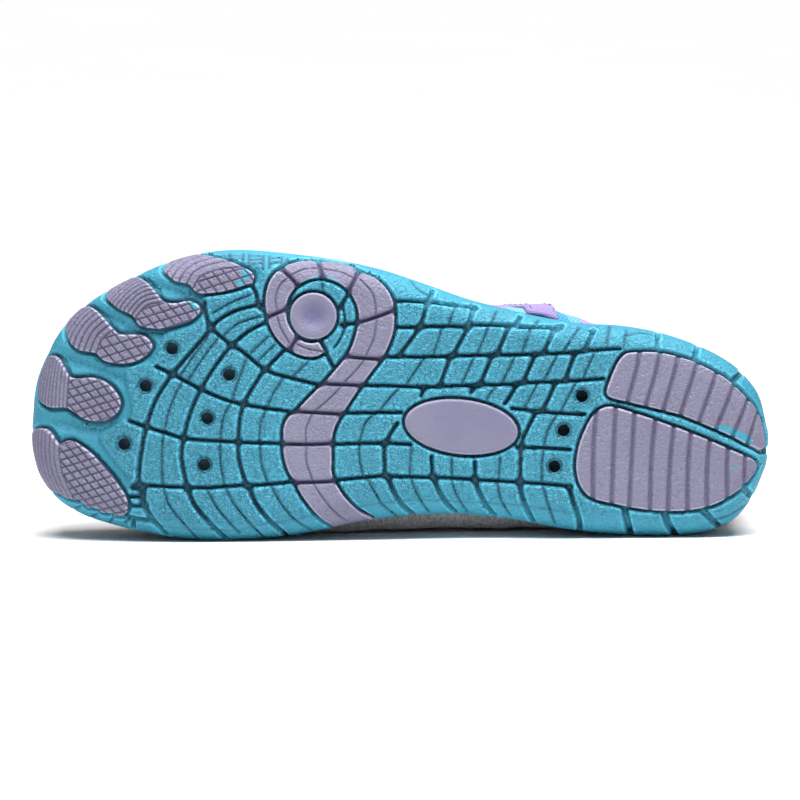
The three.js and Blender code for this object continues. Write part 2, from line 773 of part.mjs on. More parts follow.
function button() {
  const centre = plan(BUTTON.along, BUTTON.across);
  const foot = onSkin(layFlat(centre), 0);
  const rim = buttonRadius * 0.72;
  const profile = [
    [0, clearance - pocketDepth],
    [buttonRadius, clearance - pocketDepth],
    [buttonRadius, -0.6],
    [buttonRadius - 0.7, 0],
    [rim, 0],
    [rim * 0.6, -buttonDish * 0.75],
    [0, -buttonDish],
  ].map(([r, h]) => new THREE.Vector2(r, h));
  const turned = new THREE.LatheGeometry(profile, 20).rotateX(-Math.PI / 2).translate(centre.x, centre.y, foot.z);
  turned.deleteAttribute("normal").deleteAttribute("uv");
  return solidFrom(mergeVertices(turned, 1e-4));
}

// Sections of the upper from heel to toe: crest as a share of the instep's height, its offset towards the outer side
// in chart steps, how full the section is, and how far each side swells past the sole, as a share of its bulge.
const SECTIONS = table(
  ["along", "crest", "offset", "fullness", "outer", "inner"],
  [
    [0, 1.14, -3, 0.95, -0.3, -0.4],
    [30, 1.16, 0, 0.95, -0.3, -0.5],
    [58, 1.15, 0.5, 0.85, 0, -0.3],
    [70, 1.14, 0.5, 0.8, 0.7, 0.15],
    [78, 1.13, 0.5, 0.8, 1, 0.4],
    [90, 1.12, 0, 0.8, 0.42, 0.85],
    [101, 1.1, -0.5, 0.8, 0.05, 1],
    [120, 1.05, -1.5, 0.82, -0.25, 1],
    [137, 1, -3, 0.85, -0.3, 0.7],
    [150, 0.91, -4, 0.87, -0.3, 0.25],
    [165, 0.82, -5, 0.86, -0.3, -0.3],
    [180, 0.75, -5, 0.84, -0.3, -0.5],
    [200, 0.68, -5, 0.8, -0.3, -0.5],
    [220, 0.635, -6, 0.76, -0.25, -0.35],
    [234, 0.6, -8, 0.74, -0.2, -0.3],
    [244, 0.56, -8.5, 0.72, -0.2, -0.2],
    [250, 0.52, -8.5, 0.7, -0.2, -0.2],
  ],
);
// The collar's edge from the side: its height from 0 at its lowest to 1 at the back, and to 1 at the front.
const COLLAR = table(
  ["along", "back", "front"],
  [
    [-12, 1.05, 0],
    [6, 1, 0],
    [18, 0.86, 0],
    [34, 0.42, 0],
    [52, 0.1, 0],
    [70, 0, 0],
    [92, 0, 0.08],
    [110, 0, 0.34],
    [124, 0, 0.72],
    [133, 0, 1.1],
    [139, 0, 1.6],
    [142, 0, 2.4],
  ],
);
const LEAN = { heelEnds: 45, toeBegins: 222 };
const DOME = { rise: 1.2, riseAtToe: 0.92, flattens: 120, flat: 175 };

// The upper's own surface: an entry of the edge ring, a level from 0 at the footbed to 1 at the rim, 2 at the bulge
// and 3 at the crest, and how far inside the surface the point lies.
function upperPoint(entry, level, inset) {
  const along = column(OUTLINE, "along", entry.t);
  const from = rimWall + wallLean + clearance + inset;
  const foot = entry.point.clone().addScaledVector(entry.normal, -from);
  const rim = rimHeight(entry.point.x);
  const footbed = footbedHeight(entry.point.x) + clearance;
  if (level <= 1) return new THREE.Vector3(foot.x, foot.y, mix(footbed, rim, level));
  const bulge = (entry.side === "outer" ? outerBulge : innerBulge) * columnAt(SECTIONS, entry.side, along);
  const swell = Math.min(level - 1, 1);
  const swollen = (bulge + rimWall + wallLean) * swell * (2 - swell);
  const wide = foot.clone().addScaledVector(entry.normal, swollen);
  const widest = rim + bulgeHeight * (1 - 0.7 * ramp(225, CHART_LENGTH, along));
  if (level <= 2) return new THREE.Vector3(wide.x, wide.y, mix(rim, widest, swell));
  const crest = Math.max(instepHeight * columnAt(SECTIONS, "crest", along), widest + 2) - inset;
  const power = mix(DOME.rise, DOME.riseAtToe, ramp(DOME.flattens, DOME.flat, along));
  const angle = (Math.PI / 2) * (level - 2);
  const lean = heelLean * (1 - ramp(0, LEAN.heelEnds, along)) - toeLean * ramp(LEAN.toeBegins, CHART_LENGTH, along);
  const middle = plan(along, columnAt(SECTIONS, "offset", along));
  middle.x = THREE.MathUtils.clamp(middle.x, from, soleLength - from) + lean;
  const at = middle.lerp(wide, Math.cos(angle) ** columnAt(SECTIONS, "fullness", along));
  return new THREE.Vector3(at.x, at.y, mix(widest, crest, Math.sin(angle) ** power));
}

const UPPER_LEVELS = [0, 1, 1.6, 2.15, 2.45, 2.75, 3];

// The closed form of the upper, inset from its surface; extra moves its foot down past the wall's own foot.
function upperForm(inset, extra) {
  const ring = edgeRing(everyRow);
  const rings = UPPER_LEVELS.map((level) => ring.map((entry) => upperPoint(entry, level, inset)));
  rings[0].forEach((point) => point.setZ(point.z - extra));
  const quads = [...rungsAcross(rings[0], false), ...ringsJoined(rings), ...rungsAcross(rings.at(-1), true)];
  return solidOf(quads);
}

// A block across the shoe whose outline is given from the side, as points (x, z).
function acrossTheShoe(points, from, to) {
  const shape = new THREE.Shape(points);
  const block = new THREE.ExtrudeGeometry(shape, { depth: to - from, bevelEnabled: false });
  block.rotateX(Math.PI / 2).translate(0, to, 0).deleteAttribute("normal").deleteAttribute("uv");
  return solidFrom(mergeVertices(block, 1e-4));
}

// Everything over the collar's edge, or over a line that lies lower than it.
function overTheCollar(drop) {
  const back = collarBackHeight - collarSideHeight;
  const front = collarFrontHeight - collarSideHeight;
  const line = COLLAR.map((row) => {
    const height = collarSideHeight + back * row.back + front * row.front;
    return new THREE.Vector2(plan(row.along, 0).x, height);
  });
  const lowered = line.map((point, i) => {
    const way = line[Math.min(i + 1, line.length - 1)].clone().sub(line[Math.max(i - 1, 0)]).normalize();
    return point.clone().add(new THREE.Vector2(way.y, -way.x).multiplyScalar(drop));
  });
  const sky = 2 * collarFrontHeight;
  const [first, last] = [lowered[0], lowered.at(-1)];
  const points = [...lowered, new THREE.Vector2(last.x, sky), new THREE.Vector2(first.x, sky)];
  return acrossTheShoe(points, -ballWidth, ballWidth);
}

function upper() {
  const wall = upperForm(0, 0).subtract(upperForm(upperWall, throughTheFoot));
  return wall.subtract(overTheCollar(collarBandHeight + clearance));
}

// The elastic knit band that edges the opening; it stands a little proud of the upper on both faces.
function collarBand() {
  const lining = upperForm(upperWall + collarBandProud, throughTheFoot);
  const band = upperForm(-collarBandProud, 0).subtract(lining);
  return band.intersect(overTheCollar(collarBandHeight)).subtract(overTheCollar(0));
}

// The stitched strap on the outer side, drawn from that side: it rises from the rim to the collar, leaning forward.
const STRAP = { along: 79, foot: 22, lean: 14 };

function saddleStrap() {
  const skin = upperForm(-clearance - strapThickness, 0).subtract(upperForm(-clearance, throughTheFoot));
  const foot = plan(STRAP.along, 0).x;
  const top = collarSideHeight - collarBandHeight - strapEndsBelowBand;
  const corners = [
    [foot - strapWidth / 2, STRAP.foot],
    [foot + strapWidth / 2, STRAP.foot],
    [foot + STRAP.lean + strapWidth / 2, top],
    [foot + STRAP.lean - strapWidth / 2, top],
  ].map(([x, z]) => new THREE.Vector2(x, z));
  return skin.intersect(acrossTheShoe(corners, 0, ballWidth));
}

// The loose insole covers the footbed and follows its shape.
function insole() {
  const ring = edgeRing(everyRow);
  const margin = rimWall + wallLean + upperWall + insolePlay;
  const level = (lift) =>
    ring.map(({ point, normal }) => {
      const at = point.clone().addScaledVector(normal, -margin);
      return new THREE.Vector3(at.x, at.y, footbedHeight(point.x) + clearance + lift);
    });
  const rings = [level(0), level(insoleThickness)];
  return solidOf([...rungsAcross(rings[0], false), ...ringsJoined(rings), ...rungsAcross(rings[1], true)]);
}

// Onto its inner side, with the toe towards -X, the sole towards -Y and the outer side up.
const ontoItsSide = new THREE.Matrix4().makeBasis(
  new THREE.Vector3(-1, 0, 0),
  new THREE.Vector3(0, 0, 1),
  new THREE.Vector3(0, 1, 0),
);

function volumeAndCentre(geometry) {
  const corner = geometry.attributes.position;
  const total = new THREE.Vector3();
  let volume = 0;
  const [a, b, c] = [new THREE.Vector3(), new THREE.Vector3(), new THREE.Vector3()];
  for (let i = 0; i < geometry.index.count; i += 3) {
    [a, b, c].forEach((point, k) => point.fromBufferAttribute(corner, geometry.index.array[i + k]));
    const share = a.dot(b.clone().cross(c)) / 6;
    volume += share;
    total.addScaledVector(a.clone().add(b).add(c), share / 4);
  }
  return { volume, centre: total };
}

// The point that all the pieces together balance on.
function balanceOf(group) {
  const balance = new THREE.Vector3();
  let volume = 0;
  for (const { geometry } of group.children) {
    const own = volumeAndCentre(geometry);
    volume += own.volume;
    balance.add(own.centre);
  }
  return balance.divideScalar(volume);
}

function hullOf(group) {
  const points = group.children.flatMap(({ geometry }) => {
    const corner = geometry.attributes.position;
    return Array.from({ length: corner.count }, (_, i) => new THREE.Vector3().fromBufferAttribute(corner, i));
  });
  return new ConvexHull().setFromPoints(points);
}

// Whether a point, moved square onto the plane of a face, falls inside it.
function standsOver(face, point) {
  const foot = point.clone().addScaledVector(face.normal, -face.distanceToPoint(point));
  const corners = [];
  let side = face.edge;
  do {
    corners.push(side.head().point);
    side = side.next;
  } while (side !== face.edge);
  return corners.every((corner, i) => {
    const along = corners[(i + 1) % corners.length].clone().sub(corner);
    return along.cross(foot.clone().sub(corner)).dot(face.normal) > 0;
  });
}

// The pose in which the shoe stays put: the face of its hull that its balance point stands over is laid down.
function layDown(group) {
  group.children.forEach(({ geometry }) => geometry.applyMatrix4(ontoItsSide));
  const balance = balanceOf(group);
  const down = new THREE.Vector3(0, 0, -1);
  const faces = hullOf(group).faces.filter((face) => standsOver(face, balance));
  const rest = faces.reduce((best, face) => (face.normal.dot(down) > best.normal.dot(down) ? face : best));
  const turn = new THREE.Quaternion().setFromUnitVectors(rest.normal, down);
  group.children.forEach(({ geometry }) => geometry.applyQuaternion(turn));
  const box = new THREE.Box3().setFromObject(group);
  const middle = box.getCenter(new THREE.Vector3());
  group.children.forEach(({ geometry }) => geometry.translate(-middle.x, -middle.y, -box.min.z));
}

const material = (color, roughness) => new THREE.MeshStandardMaterial({ color, roughness, metalness: 0 });
const teal = material(TEAL, 0.6);
const lavender = material(LAVENDER, 0.6);
const sky = material(SKY, 0.9);
const lilac = material(LILAC, 0.9);

const group = new THREE.Group();

function add(name, made, finish) {
  const mesh = new THREE.Mesh(made.isBufferGeometry ? made : geometryOf(made), finish);
  mesh.name = name;
  group.add(mesh);
}

add("outsole", outsole(), teal);
lugRungs.forEach((rungs, i) => add(`toe_lug_${i + 1}`, inlay(rungs, 2), lavender));
add("ring_and_band", ringAndBand(), lavender);
add("button", button(), lavender);
add("oval_plate", inlay(ovalRungs, 1), lavender);
add("heel_pad_outer", heelPad("outer"), lavender);
add("heel_pad_inner", heelPad("inner"), lavender);
add("insole", insole(), lilac);
add("upper", upper(), sky);
add("collar_band", collarBand(), lilac);
add("saddle_strap", saddleStrap(), lilac);
layDown(group);

export default group;
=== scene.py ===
# %% [markdown]
# # A slip-on water shoe lying on its inner side
# The shoe shows its tread: a teal moulded cup with lavender lugs set into it, under a soft knitted upper. The packed
# CAD model is the fixed frame, so this script only adds what the eye wants: crisp grooves, grain, knit and light.

# %% Load the fixed frame
import json
import math

import bmesh
import bpy
import numpy as np
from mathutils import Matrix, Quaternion, Vector, kdtree
from mathutils.geometry import delaunay_2d_cdt

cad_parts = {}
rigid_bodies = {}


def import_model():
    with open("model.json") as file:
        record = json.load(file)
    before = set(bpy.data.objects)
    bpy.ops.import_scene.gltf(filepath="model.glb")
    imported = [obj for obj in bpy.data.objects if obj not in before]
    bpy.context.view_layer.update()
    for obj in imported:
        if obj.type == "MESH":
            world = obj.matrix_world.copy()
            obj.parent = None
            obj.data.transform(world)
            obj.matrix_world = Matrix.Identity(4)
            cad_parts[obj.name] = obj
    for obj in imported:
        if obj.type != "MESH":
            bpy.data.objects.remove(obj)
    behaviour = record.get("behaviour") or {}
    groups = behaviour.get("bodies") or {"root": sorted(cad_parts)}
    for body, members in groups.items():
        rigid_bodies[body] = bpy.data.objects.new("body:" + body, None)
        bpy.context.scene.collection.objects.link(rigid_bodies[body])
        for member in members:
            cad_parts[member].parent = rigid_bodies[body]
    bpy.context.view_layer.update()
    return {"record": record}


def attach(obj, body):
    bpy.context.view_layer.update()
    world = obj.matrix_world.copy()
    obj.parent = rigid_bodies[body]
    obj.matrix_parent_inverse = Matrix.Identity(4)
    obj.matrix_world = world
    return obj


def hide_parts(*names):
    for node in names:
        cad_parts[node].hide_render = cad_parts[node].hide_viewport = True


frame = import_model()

BODY = "root"
MM = 0.001

# %% [markdown]
# ## The shoe's own frame
# A last maker measures a shoe from the heel along the sole, and so does this script: x runs from heel to toe, y to the
# outer side, z up from the tread, all in millimetres. Two marks on the tread say how the shoe lies in the room.

# %% Turn shoe measures into places in the room
HEEL_MARK = (41.5, -6.0)  # where the heel's mark lies in the sole's plan
marks = {mount["name"]: mount for mount in frame["record"]["mounts"]}
heel_mark, ball_mark = (np.array(marks[name]["pos_m"]) for name in ("tread_heel", "tread_ball"))
upright = -np.array(marks["tread_heel"]["axis"])  # a mount's axis points out of the tread
upright /= np.linalg.norm(upright)
ahead = ball_mark - heel_mark
ahead -= upright * (ahead @ upright)
ahead /= np.linalg.norm(ahead)
SHOE_AXES = np.array([ahead, np.cross(upright, ahead), upright])
ORIGIN = heel_mark - MM * (HEEL_MARK[0] * SHOE_AXES[0] + HEEL_MARK[1] * SHOE_AXES[1])


def to_room(points):
    """Points of the shoe's frame, in millimetres, as places in the room, in metres."""
    return points @ SHOE_AXES * MM + ORIGIN


def ramp(low, high, value):
    """0 below low, 1 above high and a smooth step between; low may be the larger one."""
    share = np.clip((value - low) / (high - low), 0, 1)
    return share * share * (3 - 2 * share)


def mix(a, b, share):
    return a + (b - a) * share


print("toe points along", ahead.round(3), "and the tread faces", (-upright).round(3))

# %% [markdown]
# ## The outline of the sole
# A sole is cut to one outline. It could be a long list of points, but a smooth curve through a few listed rows keeps
# it fair. Each row gives a distance from the heel and how far the outer and the inner side reach there.

# %% Draw the outline
OUTLINE = np.array([
    (0, 1, -7), (1.2, 6, -12), (4, 14.5, -19.5), (8.5, 20.3, -26.3), (15, 25.5, -31), (25, 30, -33.8),
    (38, 33.6, -35.1), (52, 35.3, -35.3), (66, 35.2, -34.9), (80, 36.4, -33.3), (92, 38.3, -32.4),
    (105, 40.7, -32.4), (120, 44.8, -34), (135, 48.6, -36.9), (150, 50.8, -41.2), (165, 51.8, -44.6),
    (180, 52.1, -46.6), (190, 51.2, -47.2), (200, 48.9, -46.9), (210, 45.2, -45.8), (220, 40.1, -44.2),
    (230, 33.8, -41.8), (238, 27, -38), (243.5, 19.2, -33), (247, 11, -27.5), (249.3, 3.5, -20), (250, -3, -13),
], float)
SOLE_LENGTH = OUTLINE[-1, 0]
STEPS_PER_ROW = 12


def smooth(rows, steps):
    """A smooth curve through rows, with some number of steps for each span: steps may be a list."""
    rows = np.asarray(rows, float)
    counts = np.broadcast_to(steps, len(rows) - 1)
    span = np.repeat(np.arange(len(rows) - 1), counts)
    share = np.concatenate([np.arange(count) / count for count in counts])
    span, share = np.append(span, len(rows) - 2), np.append(share, 1.0)[:, None]
    ends = np.vstack([rows[:1], rows, rows[-1:]])
    a, b, c, d = (ends[span + k] for k in range(4))
    bend = (2 * a - 5 * b + 4 * c - d) * share**2 + (3 * b - a - 3 * c + d) * share**3
    return 0.5 * (2 * b + (c - a) * share + bend)


outline_rows = smooth(OUTLINE, STEPS_PER_ROW)
ring = np.vstack([outline_rows[:, [0, 1]], outline_rows[::-1, [0, 2]]])
ring_way = np.roll(ring, -1, 0) - np.roll(ring, 1, 0)
ring_way /= np.linalg.norm(ring_way, axis=1, keepdims=True)
ring_normal = np.column_stack([-ring_way[:, 1], ring_way[:, 0]])
print("outline:", len(ring), "points,", round(np.ptp(ring[:, 1]), 1), "mm wide")

# %% [markdown]
# ## The side view of the sole
# The tread stands flat under the heel and the ball, lifts a little under the arch, and springs up at the toe. The
# same few curves give the height of the footbed and of the cup's rim.

# %% Heights along the shoe
EDGE_RADIUS, TOE_EDGE_RADIUS = 9.0, 11.0
HEEL_BEVEL, ARCH_RISE, TOE_SPRING = 2.5, 2.0, 12.0
BEVEL_END, ARCH_START, ARCH_END, SPRING_START = 14, 70, 130, 186  # distances from the heel
HEEL_THICKNESS, BALL_THICKNESS = 11.0, 7.5
RIM_AT_HEEL, RIM_AT_WAIST, RIM_AT_TOE = 25.0, 19.5, 28.0
RIM_WALL, WALL_LEAN = 2.4, 1.4


def ground_gap(x):
    """How far the tread stands off flat ground when the shoe is worn."""
    heel = np.maximum(0, 1 - x / BEVEL_END)
    arch = np.sin(np.clip((x - ARCH_START) / (ARCH_END - ARCH_START), 0, 1) * math.pi) ** 2
    toe = np.maximum(0, (x - SPRING_START) / (SOLE_LENGTH - SPRING_START))
    return HEEL_BEVEL * heel**2 + ARCH_RISE * arch + TOE_SPRING * toe**1.8


def rounding(x):
    """Radius of the edge between the tread and the wall."""
    return mix(EDGE_RADIUS, TOE_EDGE_RADIUS, ramp(200, 244, x))


def footbed_height(x):
    return ground_gap(x) + mix(HEEL_THICKNESS, BALL_THICKNESS, ramp(70, 140, x))


def rim_height(x):
    return mix(RIM_AT_HEEL, RIM_AT_WAIST, ramp(10, 95, x)) + (RIM_AT_TOE - RIM_AT_WAIST) * ramp(170, 250, x)


print("rim over the ground at heel, waist and toe:", rim_height(np.array([0, 100, 250])).round(1), "mm")

# %% [markdown]
# ## Tread drawn flat, then wrapped
# A mould maker engraves a tread on a flat drawing and wraps it round the sole's rounded edge. Here too: every groove
# is drawn in the flat, and one function carries a flat point onto the curved skin, raised or sunk along its normal.

# %% Wrap the flat drawing round the edge
FLAT_LINE_SPACING = 0.1

turned_in = ring - ring_normal * rounding(ring[:, :1])
closed_line = np.vstack([turned_in, turned_in[:1]])
line_at = np.insert(np.cumsum(np.linalg.norm(np.diff(closed_line, axis=0), axis=1)), 0, 0)
fine_at = np.arange(0, line_at[-1], FLAT_LINE_SPACING)
closed_normal = np.vstack([ring_normal, ring_normal[:1]])
flat_line = np.column_stack([np.interp(fine_at, line_at, closed_line[:, k]) for k in range(2)])
flat_normal = np.column_stack([np.interp(fine_at, line_at, closed_normal[:, k]) for k in range(2)])
flat_tree = kdtree.KDTree(len(flat_line))
for number, (x, y) in enumerate(flat_line.tolist()):
    flat_tree.insert((x, y, 0), number)
flat_tree.balance()


def from_flat_line(points):
    """For points of a plan: the nearest foot on the flat line, the way out from it, and the distance outwards."""
    index = np.array([flat_tree.find((x, y, 0))[1] for x, y in points.tolist()])
    foot = flat_line[index]
    gap = points - foot
    side = np.where((gap * flat_normal[index]).sum(1) > 0, 1.0, -1.0)
    length = np.linalg.norm(gap, axis=1)
    way = np.where((length > 1e-6)[:, None], gap * (side / np.maximum(length, 1e-6))[:, None], flat_normal[index])
    return foot, way, side * length


def lay_flat(points):
    """Points seen from below, moved out to where they lie once the rounded edge is flat."""
    points = np.asarray(points, float)
    foot, way, distance = from_flat_line(points)
    radius = rounding(foot[:, 0])
    turned = radius * np.arcsin(np.clip(distance / radius, 0, 1)) + np.maximum(distance - radius, 0)
    return np.where((distance > 0)[:, None], foot + way * turned[:, None], points)


def wall_climb(x):
    """How far the straight wall rises above the rounded edge."""
    return rim_height(x) - ground_gap(x) - rounding(x)


def on_skin(points, lift):
    """Flat points as points of the sole's skin, raised by lift along the skin's normal."""
    foot, way, distance = from_flat_line(points)
    reach = np.maximum(distance, 0)
    base = np.where((distance > 0)[:, None], foot, points)
    radius = rounding(base[:, 0])
    angle = np.minimum(reach / radius, math.pi / 2)
    climb = np.maximum(reach - radius * math.pi / 2, 0)
    lean = WALL_LEAN * climb / np.maximum(wall_climb(base[:, 0]), 1)
    slope = ground_gap(base[:, 0] + 0.5) - ground_gap(base[:, 0] - 0.5)
    down = np.column_stack([slope, 0 * slope, -np.ones_like(slope)])
    down /= np.linalg.norm(down, axis=1, keepdims=True)
    outward = np.column_stack([way, 0 * slope])
    height = ground_gap(base[:, 0]) + radius * (1 - np.cos(angle)) + climb
    flat = base + way * (radius * np.sin(angle) - lean)[:, None]
    normal = outward * np.sin(angle)[:, None] + down * np.cos(angle)[:, None]
    return np.column_stack([flat, height]) + normal * np.broadcast_to(lift, height.shape)[:, None]


print("flat line:", len(flat_line), "steps of", FLAT_LINE_SPACING, "mm")

# %% [markdown]
# ## Fields instead of outlines
# A groove could be cut with a boolean, but a boolean leaves long thin faces and razor edges. A moulded groove has
# rounded lips. So each path gives a distance field, the fields are blended where grooves meet, which rounds the
# corners of the blocks, and a profile turns the distance into a depth.

# %% Distances to paths
REACH = 4.0


def curve(points, closed=False, spacing=0.8):
    """A smooth path through given points, as short straight steps."""
    points = np.array(points, float)
    if closed:
        points = np.vstack([points, points[:1]])
    counts = np.maximum(1, np.ceil(np.linalg.norm(np.diff(points, axis=0), axis=1) / spacing)).astype(int)
    if not closed:
        return smooth(points, counts)
    rounded = np.vstack([points[-2:-1], points, points[1:2]])
    around = np.concatenate([[1], counts, [1]])
    return smooth(rounded, around)[1:-2]


def distance_to(points, path, closed=False, reach=REACH):
    """Which points lie near a path, and how far: inside a closed path the distance counts as positive."""
    near = np.flatnonzero(((points > path.min(0) - reach) & (points < path.max(0) + reach)).all(1))
    start = path if closed else path[:-1]
    way = (np.roll(path, -1, 0) if closed else path[1:]) - start
    local = points[near]
    gap = local[:, None] - start
    share = np.clip((gap * way).sum(2) / np.maximum((way**2).sum(1), 1e-9), 0, 1)
    gap -= share[..., None] * way
    squared = (gap**2).sum(2)
    best = squared.argmin(1)
    rows = np.arange(len(near))
    distance = np.sqrt(squared[rows, best])
    foot = local - gap[rows, best]
    if closed:
        above = start[:, 1] > local[:, 1:2]
        crossing = above != np.roll(above, -1, 1)
        rise = np.where(np.abs(way[:, 1]) < 1e-12, 1e-12, way[:, 1])
        ahead_of = local[:, :1] < start[:, 0] + (local[:, 1:2] - start[:, 1]) / rise * way[:, 0]
        inside = (crossing & ahead_of).sum(1) % 2 == 1
        distance = np.where(inside, distance, -distance)
    return near, distance, foot


def blend(a, b, width):
    """The smaller of two fields, with a rounded corner where they cross."""
    share = np.clip(0.5 + 0.5 * (b - a) / width, 0, 1)
    return mix(b, a, share) - width * share * (1 - share)


def lip(field, radius, run, depth):
    """The section of a moulded groove: flat, rounded lip, steep wall, floor."""
    turn = np.clip((radius - field) / radius, 0, 1)
    rounded = -radius + radius * np.sqrt(np.maximum(1 - turn**2, 0))
    wall = np.clip(-field / run, 0, 1)
    return np.where(field > 0, rounded, mix(-radius, -depth, wall))


print("two fields of 1 mm blend to", round(float(blend(1.0, 1.0, 1.5)), 2), "mm where they cross")

# %% [markdown]
# ## Grids that follow the drawing
# A plain grid would show its steps along each groove. Moving the few vertices next to an edge onto that edge keeps
# the grid light and the edge clean.

# %% Make a grid and move it onto the edges
def flat_grid(low, high, step):
    xs = np.arange(low[0], high[0] + step, step)
    ys = np.arange(low[1], high[1] + step, step)
    return np.stack(np.meshgrid(xs, ys, indexing="ij"), -1)


def move_onto(points, field, levels, step):
    """Moves grid points that lie within half a step of a level of the field onto it."""
    shape = points.shape[:2]
    value = field.reshape(shape)
    gx, gy = np.gradient(value, step)
    steep = np.sqrt(gx**2 + gy**2)
    off = np.stack([(value - level) / np.maximum(steep, 0.5) for level in levels])
    best = np.abs(off).argmin(0)
    off = np.take_along_axis(off, best[None], 0)[0]
    moved = (np.abs(off) < step / 2) & (steep > 0.6)
    points[..., 0] -= np.where(moved, off * gx / np.maximum(steep, 0.5), 0)
    points[..., 1] -= np.where(moved, off * gy / np.maximum(steep, 0.5), 0)
    value[moved] = np.array(levels)[best[moved]]
    return moved


def grid_faces(field):
    """Two triangles for each cell, cut along the diagonal that follows the field, facing down."""
    nx, ny = field.shape
    corner = np.arange(nx * ny).reshape(nx, ny)
    a, b, c, d = corner[:-1, :-1], corner[1:, :-1], corner[1:, 1:], corner[:-1, 1:]
    value = field.ravel()
    along = np.abs(value[a] - value[c]) <= np.abs(value[b] - value[d])
    first = np.where(along[..., None], np.stack([a, c, b], -1), np.stack([a, d, b], -1))
    second = np.where(along[..., None], np.stack([a, d, c], -1), np.stack([b, d, c], -1))
    return np.concatenate([first.reshape(-1, 3), second.reshape(-1, 3)])


def open_edges(faces):
    """The directed edges of a mesh that have a face on one side only."""
    edges = np.concatenate([faces[:, [0, 1]], faces[:, [1, 2]], faces[:, [2, 0]]])
    size = faces.max() + 1
    return edges[~np.isin(edges[:, 0] * size + edges[:, 1], edges[:, 1] * size + edges[:, 0])]


def used_only(faces, *arrays):
    """Drops the points that no face uses."""
    used, numbers = np.unique(faces, return_inverse=True)
    return (numbers.reshape(faces.shape), *[array[used] for array in arrays])


def make_piece(name, points, faces, slot, stands_for=(), **attributes):
    """A mesh piece from points in the shoe's frame, with one number for each point under each attribute's name."""
    mesh = bpy.data.meshes.new(name)
    mesh.from_pydata(to_room(points).tolist(), [], [list(face) for face in faces])
    for key, values in attributes.items():
        mesh.attributes.new(key, "FLOAT", "POINT").data.foreach_set("value", np.asarray(values, np.float32))
    mesh.polygons.foreach_set("use_smooth", [True] * len(mesh.polygons))
    mesh.update()
    piece = bpy.data.objects.new(name, mesh)
    bpy.context.scene.collection.objects.link(piece)
    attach(piece, BODY)
    if stands_for:
        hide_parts(*stands_for)
    return piece


# %% [markdown]
# ## The lugs' outlines
# The lavender lugs are pressed from a second compound and set into pockets of the cup. Each toe has a lug with a
# waist: fine ridges on its front half, which bends over the tip, and a diamond hatch behind.

# %% Outlines of the toe lugs
TOE_LUGS = [
    [(249.5, -14), (246, -13.2), (243.5, -14.6), (241.5, -17), (240.3, -18.2), (238.5, -17.2), (236, -16.6),
     (233, -18), (230, -19.8), (227, -22.2), (224, -25), (221, -28), (218.5, -31.2), (216.5, -34), (215.4, -37),
     (215.5, -39), (216.4, -40.8), (217.8, -41.2), (219.6, -41.1), (221, -40.4), (222.8, -40.6), (224.2, -40.4),
     (225.2, -39.5), (226.8, -39.1), (228.6, -39.2), (230, -38.7), (231, -37.4), (233, -37), (235, -36.7),
     (236.6, -36.6), (238.2, -35.6), (240, -35.1), (241.6, -34.5), (243.2, -33.2), (245.5, -30.3), (247.5, -27),
     (249, -22.5), (249.8, -18)],
    [(246, 11.5), (244.5, 12), (243, 11.2), (241.5, 9.5), (240, 7.3), (237.7, 4.7), (232, 5.1), (229, 5),
     (226, 4), (223.5, 2.2), (221.3, -0.3), (220.3, -3), (221, -5.6), (223, -7.8), (226, -9.2), (229, -9.5),
     (232, -9), (235, -7.6), (238.6, -5.6), (244, -5.9), (246.5, -5.2), (248.5, -3.5), (249, -1), (249, 2),
     (248.3, 6), (247.3, 9)],
    [(236, 28.5), (234, 29.5), (232, 29), (229.5, 27), (227, 24.5), (224.5, 22), (222, 20.5), (216, 20.8),
     (213.5, 20.3), (211.5, 18.6), (210.9, 17), (212, 14.9), (215, 12.5), (218, 11.2), (222, 10.7), (226, 11),
     (228.5, 12.2), (230, 13.6), (235, 14.2), (237.5, 15.3), (239.5, 17.3), (241, 21.5), (240, 24), (238, 26.8)],
    [(218, 40.5), (222, 39), (225, 37), (227.5, 34.8), (228, 33.3), (227, 32), (225, 30.5), (222.5, 29),
     (220, 28), (218, 26.9), (216.7, 25), (215, 23.8), (210, 23.3), (206, 24), (202, 25.3), (198.5, 26.8),
     (196.3, 28.8), (195.4, 30.3), (196, 32), (198, 33.1), (200.5, 33.3), (203, 32.5), (206, 32.2),
     (208.5, 32.8), (210.5, 35), (213, 37.7), (215.5, 39.8)],
    [(208.5, 45), (207, 46.3), (203, 48.3), (199, 49.4), (195, 49.6), (191, 49), (187, 48.2), (184, 47.2),
     (181, 46), (178.8, 44.6), (178, 43), (178.5, 41), (180, 40.4), (184, 38.7), (188, 37.5), (192, 36.7),
     (195.5, 36.3), (197.5, 36.9), (198.7, 38), (200, 39.2), (204.5, 40), (206.5, 41.3), (208.5, 43), (209, 44)],
]
# Where the ridges of each lug end and its hatch begins
LUG_BORDERS = [
    [(240.3, -16), (240, -22), (238.8, -27), (237, -31), (235, -34.5), (233, -39)],
    [(238.4, 8), (238.6, 0), (238.4, -8)],
    [(222.5, 23.5), (225, 21.5), (228, 18.5), (229.7, 14), (230, 11)],
    [(206, 34.5), (209, 32.5), (213.5, 31), (216.5, 27.5), (218, 24.5)],
    [(199.5, 35.5), (198, 38.5), (196, 42), (190, 44.8), (184, 46), (180, 47.5)],
]
toe_outlines = [lay_flat(curve(points, closed=True)) for points in TOE_LUGS]
print("toe lugs:", [f"{np.ptp(outline[:, 0]):.0f} by {np.ptp(outline[:, 1]):.0f} mm" for outline in toe_outlines])

